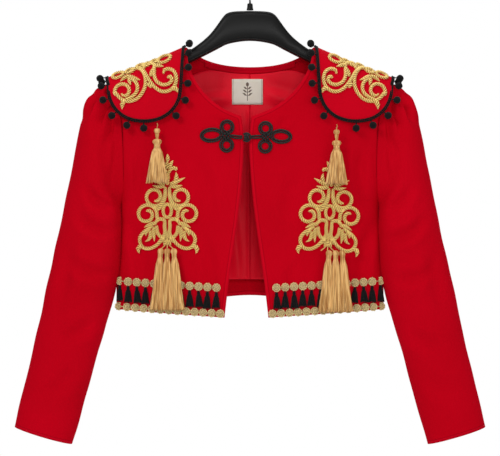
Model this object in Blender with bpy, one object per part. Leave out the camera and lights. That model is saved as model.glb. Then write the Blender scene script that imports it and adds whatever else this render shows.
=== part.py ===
"""Matador jacket on a hanger: a cropped, collarless bolero with hard gold and black trims.

Metres, +Z up. The garment faces -Y and the wearer's left is +X. The origin is the inside
top of the hanger's hook. The cloth is made of walls through sections of a flat-hung torso:
fronts, back and sleeves meet at seams with a small gap, and every trim lies on the points
of the panel under it, moved out.
"""
import math

import bmesh
import bpy
import numpy as np
from mathutils import Matrix, Vector
from mathutils.bvhtree import BVHTree

# ---------------------------------------------------------------- driving dimensions
WALL = 0.0016            # cloth with its facing or lining
THIN_WALL = 0.0010       # satin lining, inner facings and label
SEAM = 0.0003            # gap between pieces that touch
LIE = 0.0009             # lift of a layer that follows a panel's form on a grid of its own
ROUND = 2.4              # roundness of the torso's sections: 2 is an ellipse
SHOULDER_SLOPE = 0.4375  # fall of the shoulder line, per metre outwards
NECK_POINT = (0.102, -0.131)     # reach and height of the shoulder line at the neck
SHOULDER_TIP = (0.214, -0.180)   # where the shoulder seam meets the sleeve
UNDERARM = (0.205, -0.380)
RIDGE_DEPTH = 0.060      # height over which the shoulder rounds down into the body
FRONT_HEM = (-0.549, -0.561)     # height at the side seam and at the front edge
BACK_HEM = (-0.549, -0.528)      # height at the side seam and at the centre back
OPENING_X = -0.0056      # the front opening lies a little to the wearer's right
SHARP_ANGLE = math.radians(50)   # an edge sharper than this is shaded as a crease
SLOPE_STEP = 0.001       # reach over which the form's slope is measured
PANEL_COLUMNS = 11
SIDE_ROWS = 6            # rows of the grid between hem and underarm
ARMHOLE_ROWS = 11        # rows of the grid along the armhole
SLEEVE_RINGS = 17

# Torso sections from the hem up.
TORSO = (
    # height, half_width, half_depth
    (-0.575, 0.2130, 0.056),
    (-0.500, 0.2110, 0.055),
    (-0.440, 0.2080, 0.053),
    (-0.380, 0.2050, 0.052),
    (-0.340, 0.2230, 0.051),
    (-0.300, 0.2350, 0.050),
    (-0.250, 0.2400, 0.048),
    (-0.190, 0.2400, 0.046),
    (-0.060, 0.2400, 0.045),
)

# The armhole seam seen from the front, from the underarm up.
ARMHOLE = (
    # height, reach
    (-0.380, 0.2050),
    (-0.350, 0.2010),
    (-0.300, 0.2010),
    (-0.260, 0.2030),
    (-0.215, 0.2085),
    (-0.180, 0.2140),
)

# Half of the front opening, from the hem up to the neckline's corner.
FRONT_EDGE = (
    # height, half_gap
    (-0.5610, 0.0345),
    (-0.4870, 0.0258),
    (-0.4200, 0.0157),
    (-0.3270, 0.0061),
    (-0.2760, 0.0040),
    (-0.2442, 0.0050),
)

# Front neckline from its corner at the opening to the shoulder.
FRONT_NECKLINE = (
    # share_of_way, reach, height
    (0.00, 0.0080, -0.2442),
    (0.13, 0.0252, -0.2386),
    (0.27, 0.0435, -0.2295),
    (0.42, 0.0615, -0.2162),
    (0.59, 0.0790, -0.1970),
    (0.76, 0.0930, -0.1725),
    (0.89, 0.1005, -0.1500),
    (1.00, 0.1020, -0.1310),
)

# Back neckline from the centre back to the shoulder.
BACK_NECKLINE = (
    # share_of_way, reach, height
    (0.00, 0.0000, -0.1594),
    (0.28, 0.0314, -0.1578),
    (0.52, 0.0570, -0.1530),
    (0.69, 0.0745, -0.1475),
    (0.86, 0.0900, -0.1395),
    (1.00, 0.1020, -0.1310),
)

# Broad soft folds: each lowers (+) or raises (-) a panel along a leaning line.
FRONT_FOLDS = (
    # reach, height, half_width, half_length, depth, lean
    (0.075, -0.470, 0.024, 0.090, 0.0022, 0.10),
    (0.165, -0.455, 0.020, 0.080, 0.0028, -0.06),
    (0.120, -0.330, 0.030, 0.060, 0.0016, 0.20),
)
BACK_FOLDS = (
    # reach, height, half_width, half_length, depth, lean
    (0.050, -0.430, 0.026, 0.110, 0.0035, 0.05),
    (0.110, -0.400, 0.022, 0.120, -0.0022, 0.12),
    (0.155, -0.370, 0.024, 0.100, 0.0040, 0.18),
)

# Sleeve rings from the armhole to the cuff: the line over the shoulder, the underarm line,
# the half depth from front to back, and how far the arm hangs forward.
SLEEVE = (
    # share, outer_reach, outer_height, inner_reach, inner_height, half_depth, forward
    (0.00, 0.2140, -0.1800, 0.2050, -0.3800, 0.0320, 0.0000),
    (0.06, 0.2310, -0.1895, 0.2085, -0.3840, 0.0330, 0.0005),
    (0.12, 0.2460, -0.1990, 0.2120, -0.3900, 0.0345, 0.0020),
    (0.18, 0.2570, -0.2095, 0.2135, -0.3980, 0.0360, 0.0040),
    (0.24, 0.2635, -0.2240, 0.2130, -0.4080, 0.0370, 0.0060),
    (0.32, 0.2705, -0.2530, 0.2122, -0.4260, 0.0370, 0.0085),
    (0.42, 0.2835, -0.3200, 0.2122, -0.4540, 0.0360, 0.0110),
    (0.54, 0.3010, -0.4080, 0.2135, -0.4920, 0.0345, 0.0130),
    (0.68, 0.3195, -0.4960, 0.2235, -0.5480, 0.0330, 0.0140),
    (0.84, 0.3480, -0.6210, 0.2515, -0.6560, 0.0305, 0.0150),
    (1.00, 0.3755, -0.7360, 0.2820, -0.7640, 0.0280, 0.0160),
)

# Epaulette: a saddle over the shoulder with a round-ended lobe in front and behind.
EPAULETTE_WALL = 0.0015
EPAULETTE_RIDGE = (0.1045, 0.2295)     # reach of the two ends of its ridge
EPAULETTE_LOBE_CENTRE = (0.1665, -0.195)
EPAULETTE_LOBE = (0.0595, 0.0585, 2.2)  # half width, drop and roundness of the lobe's end
EPAULETTE_FORM = (
    # reach, lift_over_shoulder, half_depth
    (0.090, 0.0030, 0.0520),
    (0.140, 0.0038, 0.0480),
    (0.180, 0.0050, 0.0435),
    (0.215, 0.0065, 0.0405),
    (0.245, 0.0080, 0.0400),
)
EMBROIDERY_ACROSS = (0.12, 0.88)       # share of the epaulette's width that it covers
EMBROIDERY_DOWN = (-0.84, 0.84)        # share of each lobe's drop
EMBROIDERY_PROUD = 0.0036
BRAID_WIDTH = 0.0053
BRAID_HEIGHT = 0.0022
POMPOM_RADIUS = 0.0057
POMPOM_REACH = 0.0095    # from the epaulette's edge to a pompom's centre
POMPOM_COUNT = 26
STALK_RADIUS = 0.0012
STALK_START = 0.0016     # how far inside the braid a stalk begins
BRAID_SECTIONS = 52      # places along the edge where the braid is drawn
BRAID_LIE = 0.0013       # its lift off the cloth
BRAID_PROUD = 0.0012     # how far the braid stands past the epaulette's edge

GIMP_HALF_HEIGHT = 0.0068
GIMP_THICKNESS = 0.0022
GIMP_PITCH = 0.0138
UPPER_GIMP_HEIGHT = 0.0455      # centre of the upper braid above the hem
LOWER_GIMP_HEIGHT = 0.0052
UPPER_START = 0.011      # where the upper rows begin, from the front edge
LOWER_START = 0.001
SIDE_MARGIN = 0.0015     # bare cloth left before the side seam
FRINGE_THICKNESS = 0.0030
APPLIQUE_THICKNESS = 0.0034

# Outline of the front appliqué about its own axis.
APPLIQUE = (
    # height, half_width
    (-0.3035, 0.0030),
    (-0.3200, 0.0080),
    (-0.3440, 0.0250),
    (-0.3560, 0.0255),
    (-0.3730, 0.0290),
    (-0.3860, 0.0420),
    (-0.4060, 0.0440),
    (-0.4220, 0.0330),
    (-0.4390, 0.0440),
    (-0.4550, 0.0500),
    (-0.4610, 0.0300),
)

# The trims that are not a mirror of each other: side, appliqué axis and tilt, tassel tops.
TRIM_PLACES = (
    # side_name, side, applique_reach, applique_drop, applique_tilt, tassel_reach, tassel_top
    ("right", -1, 0.1300, 0.0000, 0.000, 0.1460, -0.2560),
    ("left", 1, 0.1250, 0.0030, -0.060, 0.1360, -0.2580),
)

# Turned profile of the tassel that hangs from an epaulette.
TASSEL_CLEARANCE = 0.00912  # no pompom is nearer to it than this
TASSEL_EDGE_HEIGHT = -0.230  # the lobe's end lies below this height
EPAULETTE_TASSEL = (
    # radius, distance_down
    (0.0010, 0.000),
    (0.0010, 0.008),
    (0.0046, 0.010),
    (0.0046, 0.013),
    (0.0016, 0.016),
    (0.0016, 0.024),
    (0.0066, 0.026),
    (0.0070, 0.031),
    (0.0040, 0.036),
    (0.0072, 0.041),
    (0.0125, 0.066),
    (0.0155, 0.094),
)
# Turned profile of each of the three tassels that hang from an appliqué.
FRONT_TASSEL = (
    # radius, distance_down
    (0.0020, 0.000),
    (0.0046, 0.003),
    (0.0046, 0.007),
    (0.0028, 0.011),
    (0.0047, 0.017),
    (0.0068, 0.050),
    (0.0084, 0.092),
)
TASSEL_FLATNESS = 0.55   # a tassel lies on the cloth: its depth over its width
FRONT_TASSEL_RISE = 0.0035      # how far its top reaches over the appliqué's lower end
FRONT_TASSEL_SPACING = 0.0105
FRONT_TASSEL_LEAN = 0.083

# The frog: reach from the middle of the body and height of its rings and knots.
FROG_CORD = (0.0035, 0.0017)  # half width and half depth of the doubled cord
FROG_RINGS = {
    # centre_x, centre_z, radius_x, radius_z
    "frog_button_side": (
        (-0.0605, -0.2741, 0.0155, 0.0088),
        (-0.0362, -0.2612, 0.0086, 0.0088),
        (-0.0368, -0.2898, 0.0086, 0.0088),
    ),
    "frog_loop_side": (
        (0.0490, -0.2762, 0.0145, 0.0086),
        (0.0245, -0.2634, 0.0086, 0.0086),
        (0.0238, -0.2916, 0.0086, 0.0086),
    ),
}
FROG_KNOTS = {"frog_button_side": (-0.0370, -0.2755), "frog_loop_side": (0.0252, -0.2766)}
FROG_BUTTON = (-0.0054, -0.2775, 0.0043, 0.0064)   # centre x and z, half width and height
FROG_LOOP = (0.0082, 0.0103)                        # half width and height of the button's loop
FROG_LOOP_CORD = (0.0016, 0.0014)
FROG_KNOT = (0.0098, 0.0088, 0.0030)    # half width, height and depth of a knot
FROG_BAR = (0.0028, 0.0014)             # half height and depth of the bar to the button
LOOP_HALF_TURN = math.radians(130)      # the button's loop is open towards its bar
FROG_OVERLAP = 0.004                    # how far a bar runs into its knot
BUTTON_DEPTH = (0.0040, 0.0012)         # half depth of the button, and how far forward

# Hanger: sections of the body from the hub to a tip.
HANGER_DEPTH_POWER = 2.6
HANGER = (
    # reach, top, bottom, half_depth
    (0.000, -0.0720, -0.1200, 0.0130),
    (0.032, -0.0722, -0.1255, 0.0130),
    (0.0415, -0.0780, -0.1290, 0.0130),
    (0.052, -0.0949, -0.1350, 0.0130),
    (0.0615, -0.1075, -0.1395, 0.0130),
    (0.073, -0.1190, -0.1455, 0.0125),
    (0.088, -0.1300, -0.1525, 0.0115),
    (0.100, -0.1385, -0.1590, 0.0120),
    (0.150, -0.1600, -0.1810, 0.0150),
    (0.192, -0.1790, -0.2000, 0.0140),
    (0.208, -0.1880, -0.2050, 0.0100),
    (0.216, -0.1950, -0.2040, 0.0050),
)
HOOK_WIRE = 0.00175      # radius
HOOK_INNER = 0.017       # inner radius of the hook's ring
HOOK_TURNS = (-52, 205)  # degrees round the ring from its start to the open end
HOOK_STEM = (0.008, 0.012)      # straight wire above the socket, and where its sweep starts
SOCKET_FOOT = (0.0025, 0.0040)  # heights of the collar at the socket's foot
SOCKET_RADIUS = 0.0046
SOCKET_TOP = -0.0610

LABEL_WIDTH = 0.050
LABEL_TOP = -0.1786
LABEL_BOTTOM = -0.2197
LABEL_X = -0.0042
LINING_REACH = 0.150
LINING_BOTTOM = -0.5035
LINING_BELOW_SHOULDER = 0.044   # keeps the lining clear of the hanger
FACING_WIDTH = 0.0105
FACING_SHARE = 0.68      # how far up the back neckline the inner facing runs
FACING_LIE = 0.0016
LINING_LIE = 0.0016

# name, colour, roughness, metallic
FINISHES = {
    "red_cloth": ((0.47, 0.004, 0.012), 0.85, 0.0),
    "satin": ((0.42, 0.010, 0.022), 0.40, 0.0),
    "gold_rope": ((0.66, 0.43, 0.14), 0.45, 0.3),
    "gold_thread": ((0.55, 0.33, 0.10), 0.50, 0.2),
    "pale_gold": ((0.70, 0.55, 0.28), 0.50, 0.2),
    "black_yarn": ((0.010, 0.010, 0.010), 0.85, 0.0),
    "label_weave": ((0.80, 0.70, 0.57), 0.80, 0.0),
    "black_plastic": ((0.012, 0.012, 0.012), 0.35, 0.0),
    "hook_wire": ((0.45, 0.45, 0.45), 0.30, 1.0),
}


# ---------------------------------------------------------------- small tools
class SmoothTable:
    """A table read on a smooth curve: the first column is the key."""

    def __init__(self, rows):
        data = np.array(rows, dtype=float)
        self.keys = data[:, 0]
        self.values = data[:, 1:]
        self.slopes = np.gradient(self.values, self.keys, axis=0)

    def __call__(self, key):
        i = int(np.clip(np.searchsorted(self.keys, key) - 1, 0, len(self.keys) - 2))
        step = self.keys[i + 1] - self.keys[i]
        t = min(max((key - self.keys[i]) / step, 0.0), 1.0)
        start = (2 * t**3 - 3 * t**2 + 1) * self.values[i] + (t**3 - 2 * t**2 + t) * step * self.slopes[i]
        end = (3 * t**2 - 2 * t**3) * self.values[i + 1] + (t**3 - t**2) * step * self.slopes[i + 1]
        return start + end


TORSO_AT = SmoothTable(TORSO)
ARMHOLE_AT = SmoothTable(ARMHOLE)
FRONT_EDGE_AT = SmoothTable(FRONT_EDGE)
FRONT_NECKLINE_AT = SmoothTable(FRONT_NECKLINE)
BACK_NECKLINE_AT = SmoothTable(BACK_NECKLINE)
SLEEVE_AT = SmoothTable(SLEEVE)
EPAULETTE_AT = SmoothTable(EPAULETTE_FORM)
HANGER_AT = np.array(HANGER)


def clear_scene():
    for thing in list(bpy.data.objects):
        bpy.data.objects.remove(thing, do_unlink=True)


def finish_material(name):
    """The Principled material of one finish, made once."""
    if name in bpy.data.materials:
        return bpy.data.materials[name]
    colour, roughness, metallic = FINISHES[name]
    material = bpy.data.materials.new(name)
    material.use_nodes = True
    shader = material.node_tree.nodes["Principled BSDF"]
    shader.inputs["Base Color"].default_value = (*colour, 1.0)
    shader.inputs["Roughness"].default_value = roughness
    shader.inputs["Metallic"].default_value = metallic
    return material


def make_object(name, bm, finish):
    """A named object from a closed bmesh, its faces turned outwards."""
    bmesh.ops.remove_doubles(bm, verts=bm.verts, dist=0.00001)
    bmesh.ops.recalc_face_normals(bm, faces=bm.faces)
    mesh = bpy.data.meshes.new(name)
    bm.to_mesh(mesh)
    bm.free()
    mesh.shade_smooth()
    mesh.set_sharp_from_angle(angle=SHARP_ANGLE)
    mesh.materials.append(finish_material(finish))
    piece = bpy.data.objects.new(name, mesh)
    bpy.context.scene.collection.objects.link(piece)
    return piece


def unit(vectors):
    return vectors / np.linalg.norm(vectors, axis=-1, keepdims=True)


def grid_normals(grid, towards, wrap=False):
    """Normals of a grid of points, on the side that the direction `towards` shows."""
    if wrap:
        across = np.roll(grid, -1, axis=1) - np.roll(grid, 1, axis=1)
    else:
        across = np.gradient(grid, axis=1)
    up = np.gradient(grid, axis=0)
    normals = np.cross(across, up)
    size = np.linalg.norm(normals, axis=-1, keepdims=True)
    normals = normals / np.maximum(size, 1e-12)
    side = np.sign(np.sum(normals * towards, axis=-1).sum())
    return normals * side


def add_wall(bm, outer, inner, wrap=False, open_start_rows=0):
    """Add a closed wall between two grids; the first column stays open for its first rows."""
    rows, columns = outer.shape[:2]
    out = [[bm.verts.new(p) for p in row] for row in outer]
    back = [[bm.verts.new(p) for p in row] for row in inner]
    steps = columns if wrap else columns - 1
    for r in range(rows - 1):
        for c in range(steps):
            d = (c + 1) % columns
            bm.faces.new((out[r][c], out[r][d], out[r + 1][d], out[r + 1][c]))
            bm.faces.new((back[r][c], back[r + 1][c], back[r + 1][d], back[r][d]))
    for c in range(steps):
        d = (c + 1) % columns
        bm.faces.new((out[0][c], back[0][c], back[0][d], out[0][d]))
        bm.faces.new((out[-1][c], out[-1][d], back[-1][d], back[-1][c]))
    if wrap:
        return
    for r in range(rows - 1):
        if r >= open_start_rows:
            bm.faces.new((out[r][0], out[r + 1][0], back[r + 1][0], back[r][0]))
        bm.faces.new((out[r][-1], back[r][-1], back[r + 1][-1], out[r + 1][-1]))


def wall_object(name, outer, inner, finish, wrap=False):
    bm = bmesh.new()
    add_wall(bm, np.array(outer), np.array(inner), wrap)
    return make_object(name, bm, finish)


def add_tube(bm, sections, closed):
    """Skin a list of rings of points, closed into a loop or with flat ends."""
    rings = [[bm.verts.new(p) for p in ring] for ring in sections]
    count = len(rings[0])
    pairs = list(zip(rings, rings[1:]))
    if closed:
        pairs.append((rings[-1], rings[0]))
    for a, b in pairs:
        for i in range(count):
            j = (i + 1) % count
            bm.faces.new((a[i], a[j], b[j], b[i]))
    if not closed:
        bm.faces.new(list(reversed(rings[0])))
        bm.faces.new(rings[-1])


def turned_rings(profile, start, down, sides, depth_dir, flatness):
    """Rings of a turned shape that hangs from `start`, flattened along `depth_dir`."""
    down = Vector(down).normalized()
    depth = Vector(depth_dir)
    wide = down.cross(depth).normalized()
    depth = wide.cross(down).normalized()
    rings = []
    for radius, distance in profile:
        centre = Vector(start) + down * distance
        ring = []
        for k in range(sides):
            turn = 2 * math.pi * (k + 0.5) / sides
            across = wide * radius * math.cos(turn)
            ring.append(centre + across + depth * radius * flatness * math.sin(turn))
        rings.append(ring)
    return rings


def union(base, tool):
    """Join a second object into the first with a Boolean union and keep one object."""
    modifier = base.modifiers.new("join", "BOOLEAN")
    modifier.operation = "UNION"
    modifier.solver = "EXACT"
    modifier.use_self = True
    modifier.object = tool
    depsgraph = bpy.context.evaluated_depsgraph_get()
    joined = bpy.data.meshes.new_from_object(base.evaluated_get(depsgraph))
    base.modifiers.clear()
    base.data = joined
    bpy.data.objects.remove(tool, do_unlink=True)


# ---------------------------------------------------------------- the torso's form
def ridge_height(reach):
    """Height of the shoulder line over a reach from the middle."""
    return NECK_POINT[1] - (abs(reach) - NECK_POINT[0]) * SHOULDER_SLOPE


def shoulder_round(below, depth=RIDGE_DEPTH):
    """Share of the full depth at a distance below the shoulder line."""
    t = min(max(below / depth, 0.0), 1.0)
    return math.sqrt(1 - (1 - t) ** 2)


def fold_depth(reach, height, folds):
    total = 0.0
    for fold_reach, fold_height, half_width, half_length, depth, lean in folds:
        middle = fold_reach + lean * (height - fold_height)
        across = (reach - middle) / half_width
        along = (height - fold_height) / half_length
        total += depth * math.exp(-across**2 - along**4)
    return total


def torso_depth(reach, height, folds):
    """Distance of a panel's outer face from the middle plane of the body."""
    half_width, half_depth = TORSO_AT(height)
    across = min(abs(reach) / half_width, 1.0)
    body = half_depth * (1 - across**ROUND) ** (1 / ROUND)
    body *= shoulder_round(ridge_height(reach) - height)
    return max(body - fold_depth(reach, height, folds), SEAM / 2)


def form_point(x, height, face, lift):
    """A point over the front (face -1) or back (face 1) form, moved out along its normal."""
    folds = FRONT_FOLDS if face < 0 else BACK_FOLDS
    depth = torso_depth(abs(x), height, folds)
    outer = torso_depth(abs(x + SLOPE_STEP), height, folds)
    nearer = torso_depth(abs(x - SLOPE_STEP), height, folds)
    above = torso_depth(abs(x), height + SLOPE_STEP, folds)
    below = torso_depth(abs(x), height - SLOPE_STEP, folds)
    slope_x = (outer - nearer) / (2 * SLOPE_STEP)
    slope_z = (above - below) / (2 * SLOPE_STEP)
    normal = unit(np.array((-slope_x, face, -slope_z)))
    return np.array((x, face * depth, height)) + normal * lift


def reach_to_turn(share):
    return math.acos(math.copysign(min(abs(share), 1.0) ** (ROUND / 2), share))


def turn_to_reach(turn):
    return math.copysign(abs(math.cos(turn)) ** (2 / ROUND), math.cos(turn))


def half_panel(starts, ends, side, face, folds):
    """Outer points of half a panel, a row for each pair of (reach, height) ends."""
    grid = []
    for (reach_0, height_0), (reach_1, height_1) in zip(starts, ends):
        width_0 = TORSO_AT(height_0)[0]
        width_1 = TORSO_AT(height_1)[0]
        turn_0 = reach_to_turn(reach_0 / width_0)
        turn_1 = reach_to_turn(reach_1 / width_1)
        row = []
        for c in range(PANEL_COLUMNS + 1):
            f = c / PANEL_COLUMNS
            reach = (width_0 + (width_1 - width_0) * f) * turn_to_reach(turn_0 + (turn_1 - turn_0) * f)
            share = (reach - reach_0) / (reach_1 - reach_0)
            height = height_0 + (height_1 - height_0) * share
            row.append((side * reach, face * torso_depth(reach, height, folds), height))
        grid.append(row)
    return np.array(grid)


def side_ends(hem_height):
    """The outer end of each row: up the side seam, then round the armhole."""
    ends = []
    for r in range(SIDE_ROWS):
        height = hem_height + (UNDERARM[1] - hem_height) * r / SIDE_ROWS
        ends.append((TORSO_AT(height)[0], height))
    for r in range(ARMHOLE_ROWS + 1):
        rise = (1 - math.cos(math.pi * r / ARMHOLE_ROWS)) / 2
        height = UNDERARM[1] + (SHOULDER_TIP[1] - UNDERARM[1]) * rise
        ends.append((ARMHOLE_AT(height)[0], height))
    return ends


def front_starts(side, edge_rows, neck_rows):
    """The inner end of each row: up the front edge, then along the neckline."""
    starts = []
    top = FRONT_NECKLINE[0][2]
    for r in range(edge_rows):
        height = FRONT_HEM[1] + (top - FRONT_HEM[1]) * r / edge_rows
        starts.append((FRONT_EDGE_AT(height)[0] + side * OPENING_X, height))
    for r in range(neck_rows + 1):
        share = r / neck_rows
        reach, height = FRONT_NECKLINE_AT(share)
        starts.append((reach + side * OPENING_X * (1 - share), height))
    return starts


def back_starts(centre_rows, neck_rows):
    starts = []
    top = BACK_NECKLINE[0][2]
    for r in range(centre_rows):
        starts.append((0.0, BACK_HEM[1] + (top - BACK_HEM[1]) * r / centre_rows))
    for r in range(neck_rows + 1):
        starts.append(tuple(BACK_NECKLINE_AT(r / neck_rows)))
    return starts


def panel_inner(outer, face):
    """Inner points of a panel, kept on its own side of the seams."""
    normals = grid_normals(outer, np.array((0.0, face, 0.0)))
    inner = outer - normals * WALL
    inner[..., 1] = face * np.maximum(face * inner[..., 1], SEAM / 2)
    return inner


TOTAL_ROWS = SIDE_ROWS + ARMHOLE_ROWS
FRONT_EDGE_ROWS = 11
BACK_CENTRE_ROWS = 12


def front_grid(side):
    starts = front_starts(side, FRONT_EDGE_ROWS, TOTAL_ROWS - FRONT_EDGE_ROWS)
    return half_panel(starts, side_ends(FRONT_HEM[0]), side, -1, FRONT_FOLDS)


def back_grid(side):
    starts = back_starts(BACK_CENTRE_ROWS, TOTAL_ROWS - BACK_CENTRE_ROWS)
    return half_panel(starts, side_ends(BACK_HEM[0]), side, 1, BACK_FOLDS)


def build_fronts():
    grids = {}
    for name, side in (("right_front", -1), ("left_front", 1)):
        outer = front_grid(side)
        inner = panel_inner(outer, -1)
        wall_object(name, outer, inner, "red_cloth")
        grids[side] = (outer, inner)
    return grids


def build_back():
    """The back in one piece: two halves welded along the centre, forked at the neck."""
    grids = {}
    bm = bmesh.new()
    for side in (-1, 1):
        outer = back_grid(side)
        inner = panel_inner(outer, 1)
        inner[: BACK_CENTRE_ROWS + 1, 0, 0] = 0.0
        add_wall(bm, outer, inner, open_start_rows=BACK_CENTRE_ROWS)
        grids[side] = (outer, inner)
    make_object("back", bm, "red_cloth")
    return grids


# ---------------------------------------------------------------- sleeves
def armhole_loop(front, back, layer):
    """Points round the armhole, from the shoulder down the front and up the back."""
    front_edge = front[layer][SIDE_ROWS:, -1]
    back_edge = back[layer][SIDE_ROWS:, -1]
    top = (front_edge[-1] + back_edge[-1]) / 2
    bottom = (front_edge[0] + back_edge[0]) / 2
    return np.array([top, *front_edge[-2:0:-1], bottom, *back_edge[1:-1]])


def sleeve_ring(share, side, count):
    outer_reach, outer_height, inner_reach, inner_height, half_depth, forward = SLEEVE_AT(share)
    ring = []
    for k in range(count):
        turn = 2 * math.pi * k / count
        up = (1 + math.cos(turn)) / 2
        reach = inner_reach + (outer_reach - inner_reach) * up
        height = inner_height + (outer_height - inner_height) * up
        ring.append((side * reach, -forward - half_depth * math.sin(turn), height))
    return np.array(ring)


def seam_steps(loop, loop_inner, side):
    """The step that crosses the armhole seam at each point, along the cloth and outwards."""
    tangents = np.roll(loop, -1, axis=0) - np.roll(loop, 1, axis=0)
    steps = unit(np.cross(tangents, loop - loop_inner))
    outwards = np.sign(np.sum(steps * np.array((side, 0.0, 0.6)), axis=1, keepdims=True))
    return steps * outwards * SEAM * 2


def build_sleeve(name, side, front, back):
    """A sleeve from the armhole's own points to an oval cuff."""
    loop = armhole_loop(front, back, 0)
    loop_inner = armhole_loop(front, back, 1)
    steps = seam_steps(loop, loop_inner, side)
    loop = loop + steps
    loop_inner = loop_inner + steps
    count = len(loop)
    first = sleeve_ring(0.0, side, count)
    rings = [loop]
    for k in range(1, SLEEVE_RINGS + 1):
        share = (k / SLEEVE_RINGS) ** 1.15
        fade = max(0.0, 1 - share / 0.25) ** 2
        rings.append(sleeve_ring(share, side, count) + (loop - first) * fade)
    outer = np.array(rings)
    centres = outer.mean(axis=1, keepdims=True)
    normals = grid_normals(outer, unit(outer - centres), wrap=True)
    inner = outer - normals * WALL
    inner[0] = loop_inner
    wall_object(name, outer, inner, "red_cloth", wrap=True)


# ---------------------------------------------------------------- epaulettes
LOBE_ROWS = 6
LOBE_COLUMNS = 12


def epaulette_point(across, down, side):
    """A point of the epaulette: across 0..1 outwards, down -1..1 from back to front."""
    half_width, drop, roundness = EPAULETTE_LOBE
    turn = math.pi * across
    reach_end = EPAULETTE_LOBE_CENTRE[0] - half_width * math.copysign(
        abs(math.cos(turn)) ** (2 / roundness), math.cos(turn))
    height_end = EPAULETTE_LOBE_CENTRE[1] - drop * abs(math.sin(turn)) ** (2 / roundness)
    reach_top = EPAULETTE_RIDGE[0] + (EPAULETTE_RIDGE[1] - EPAULETTE_RIDGE[0]) * across
    height_top = ridge_height(reach_top) + EPAULETTE_AT(reach_top)[0]
    fall = 1 - math.cos(abs(down) * math.pi / 2)
    reach = reach_top + (reach_end - reach_top) * fall
    height = height_top + (height_end - height_top) * fall
    return (side * reach, -math.copysign(epaulette_depth(reach, height), down), height)


def epaulette_depth(reach, height):
    lift, half_depth = EPAULETTE_AT(reach)
    return half_depth * shoulder_round(ridge_height(reach) + lift - height)


def epaulette_normal(point):
    """The outward normal of the epaulette's form at one of its points."""
    step = 0.0005
    side = math.copysign(1.0, point[0])
    reach = abs(point[0])
    height = point[2]
    slope_x = (epaulette_depth(reach + step, height) - epaulette_depth(reach - step, height)) / (2 * step)
    slope_z = (epaulette_depth(reach, height + step) - epaulette_depth(reach, height - step)) / (2 * step)
    face = 0.0 if abs(point[1]) < step else math.copysign(1.0, point[1])
    return unit(np.array((-side * slope_x, face, -slope_z)))


def epaulette_grid(side, across_range, down_range, columns, rows):
    grid = []
    for r in range(rows + 1):
        down = down_range[0] + (down_range[1] - down_range[0]) * r / rows
        row = []
        for c in range(columns + 1):
            across = across_range[0] + (across_range[1] - across_range[0]) * c / columns
            row.append(epaulette_point(across, down, side))
        grid.append(row)
    grid = np.array(grid)
    return grid, np.array([[epaulette_normal(point) for point in row] for row in grid])


def build_epaulette(side_name, side):
    grid, normals = epaulette_grid(side, (0, 1), (-1, 1), LOBE_COLUMNS, 2 * LOBE_ROWS)
    wall_object(f"{side_name}_epaulette", grid, grid - normals * EPAULETTE_WALL, "red_cloth")
    return grid, normals


def build_epaulette_embroidery(side_name, side):
    grid, normals = epaulette_grid(side, EMBROIDERY_ACROSS, EMBROIDERY_DOWN, 9, 10)
    wall_object(f"{side_name}_epaulette_embroidery", grid + normals * EMBROIDERY_PROUD,
                grid + normals * LIE, "gold_rope")


def epaulette_edge(grid, normals):
    """The rim of the epaulette as points and normals at even steps all round."""
    loop = [(r, 0) for r in range(len(grid))]
    loop += [(len(grid) - 1, c) for c in range(1, grid.shape[1])]
    loop += [(r, grid.shape[1] - 1) for r in range(len(grid) - 2, -1, -1)]
    loop += [(0, c) for c in range(grid.shape[1] - 2, 0, -1)]
    points = np.array([grid[i] for i in loop] + [grid[loop[0]]])
    turns = np.array([normals[i] for i in loop] + [normals[loop[0]]])
    steps = np.linalg.norm(np.diff(points, axis=0), axis=1)
    along = np.concatenate(((0.0,), np.cumsum(steps)))

    def at(share):
        where = (share % 1.0) * along[-1]
        point = np.array([np.interp(where, along, points[:, k]) for k in range(3)])
        normal = unit(np.array([np.interp(where, along, turns[:, k]) for k in range(3)]))
        return point, normal

    return at


def edge_frame(at, share):
    """Point, surface normal and outward direction in the surface at a share of the rim."""
    step = 0.012
    point, normal = at(share)
    tangent = unit(at(share + step)[0] - at(share - step)[0])
    outward = unit(np.cross(tangent, normal))
    return point, normal, outward


def grid_surface(grid):
    """A grid's surface that can be asked for its nearest point."""
    columns = grid.shape[1]
    faces = []
    for r in range(grid.shape[0] - 1):
        for c in range(columns - 1):
            i = r * columns + c
            faces.append((i, i + 1, i + columns + 1, i + columns))
    return BVHTree.FromPolygons([Vector(p) for p in grid.reshape(-1, 3)], faces)


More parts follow.
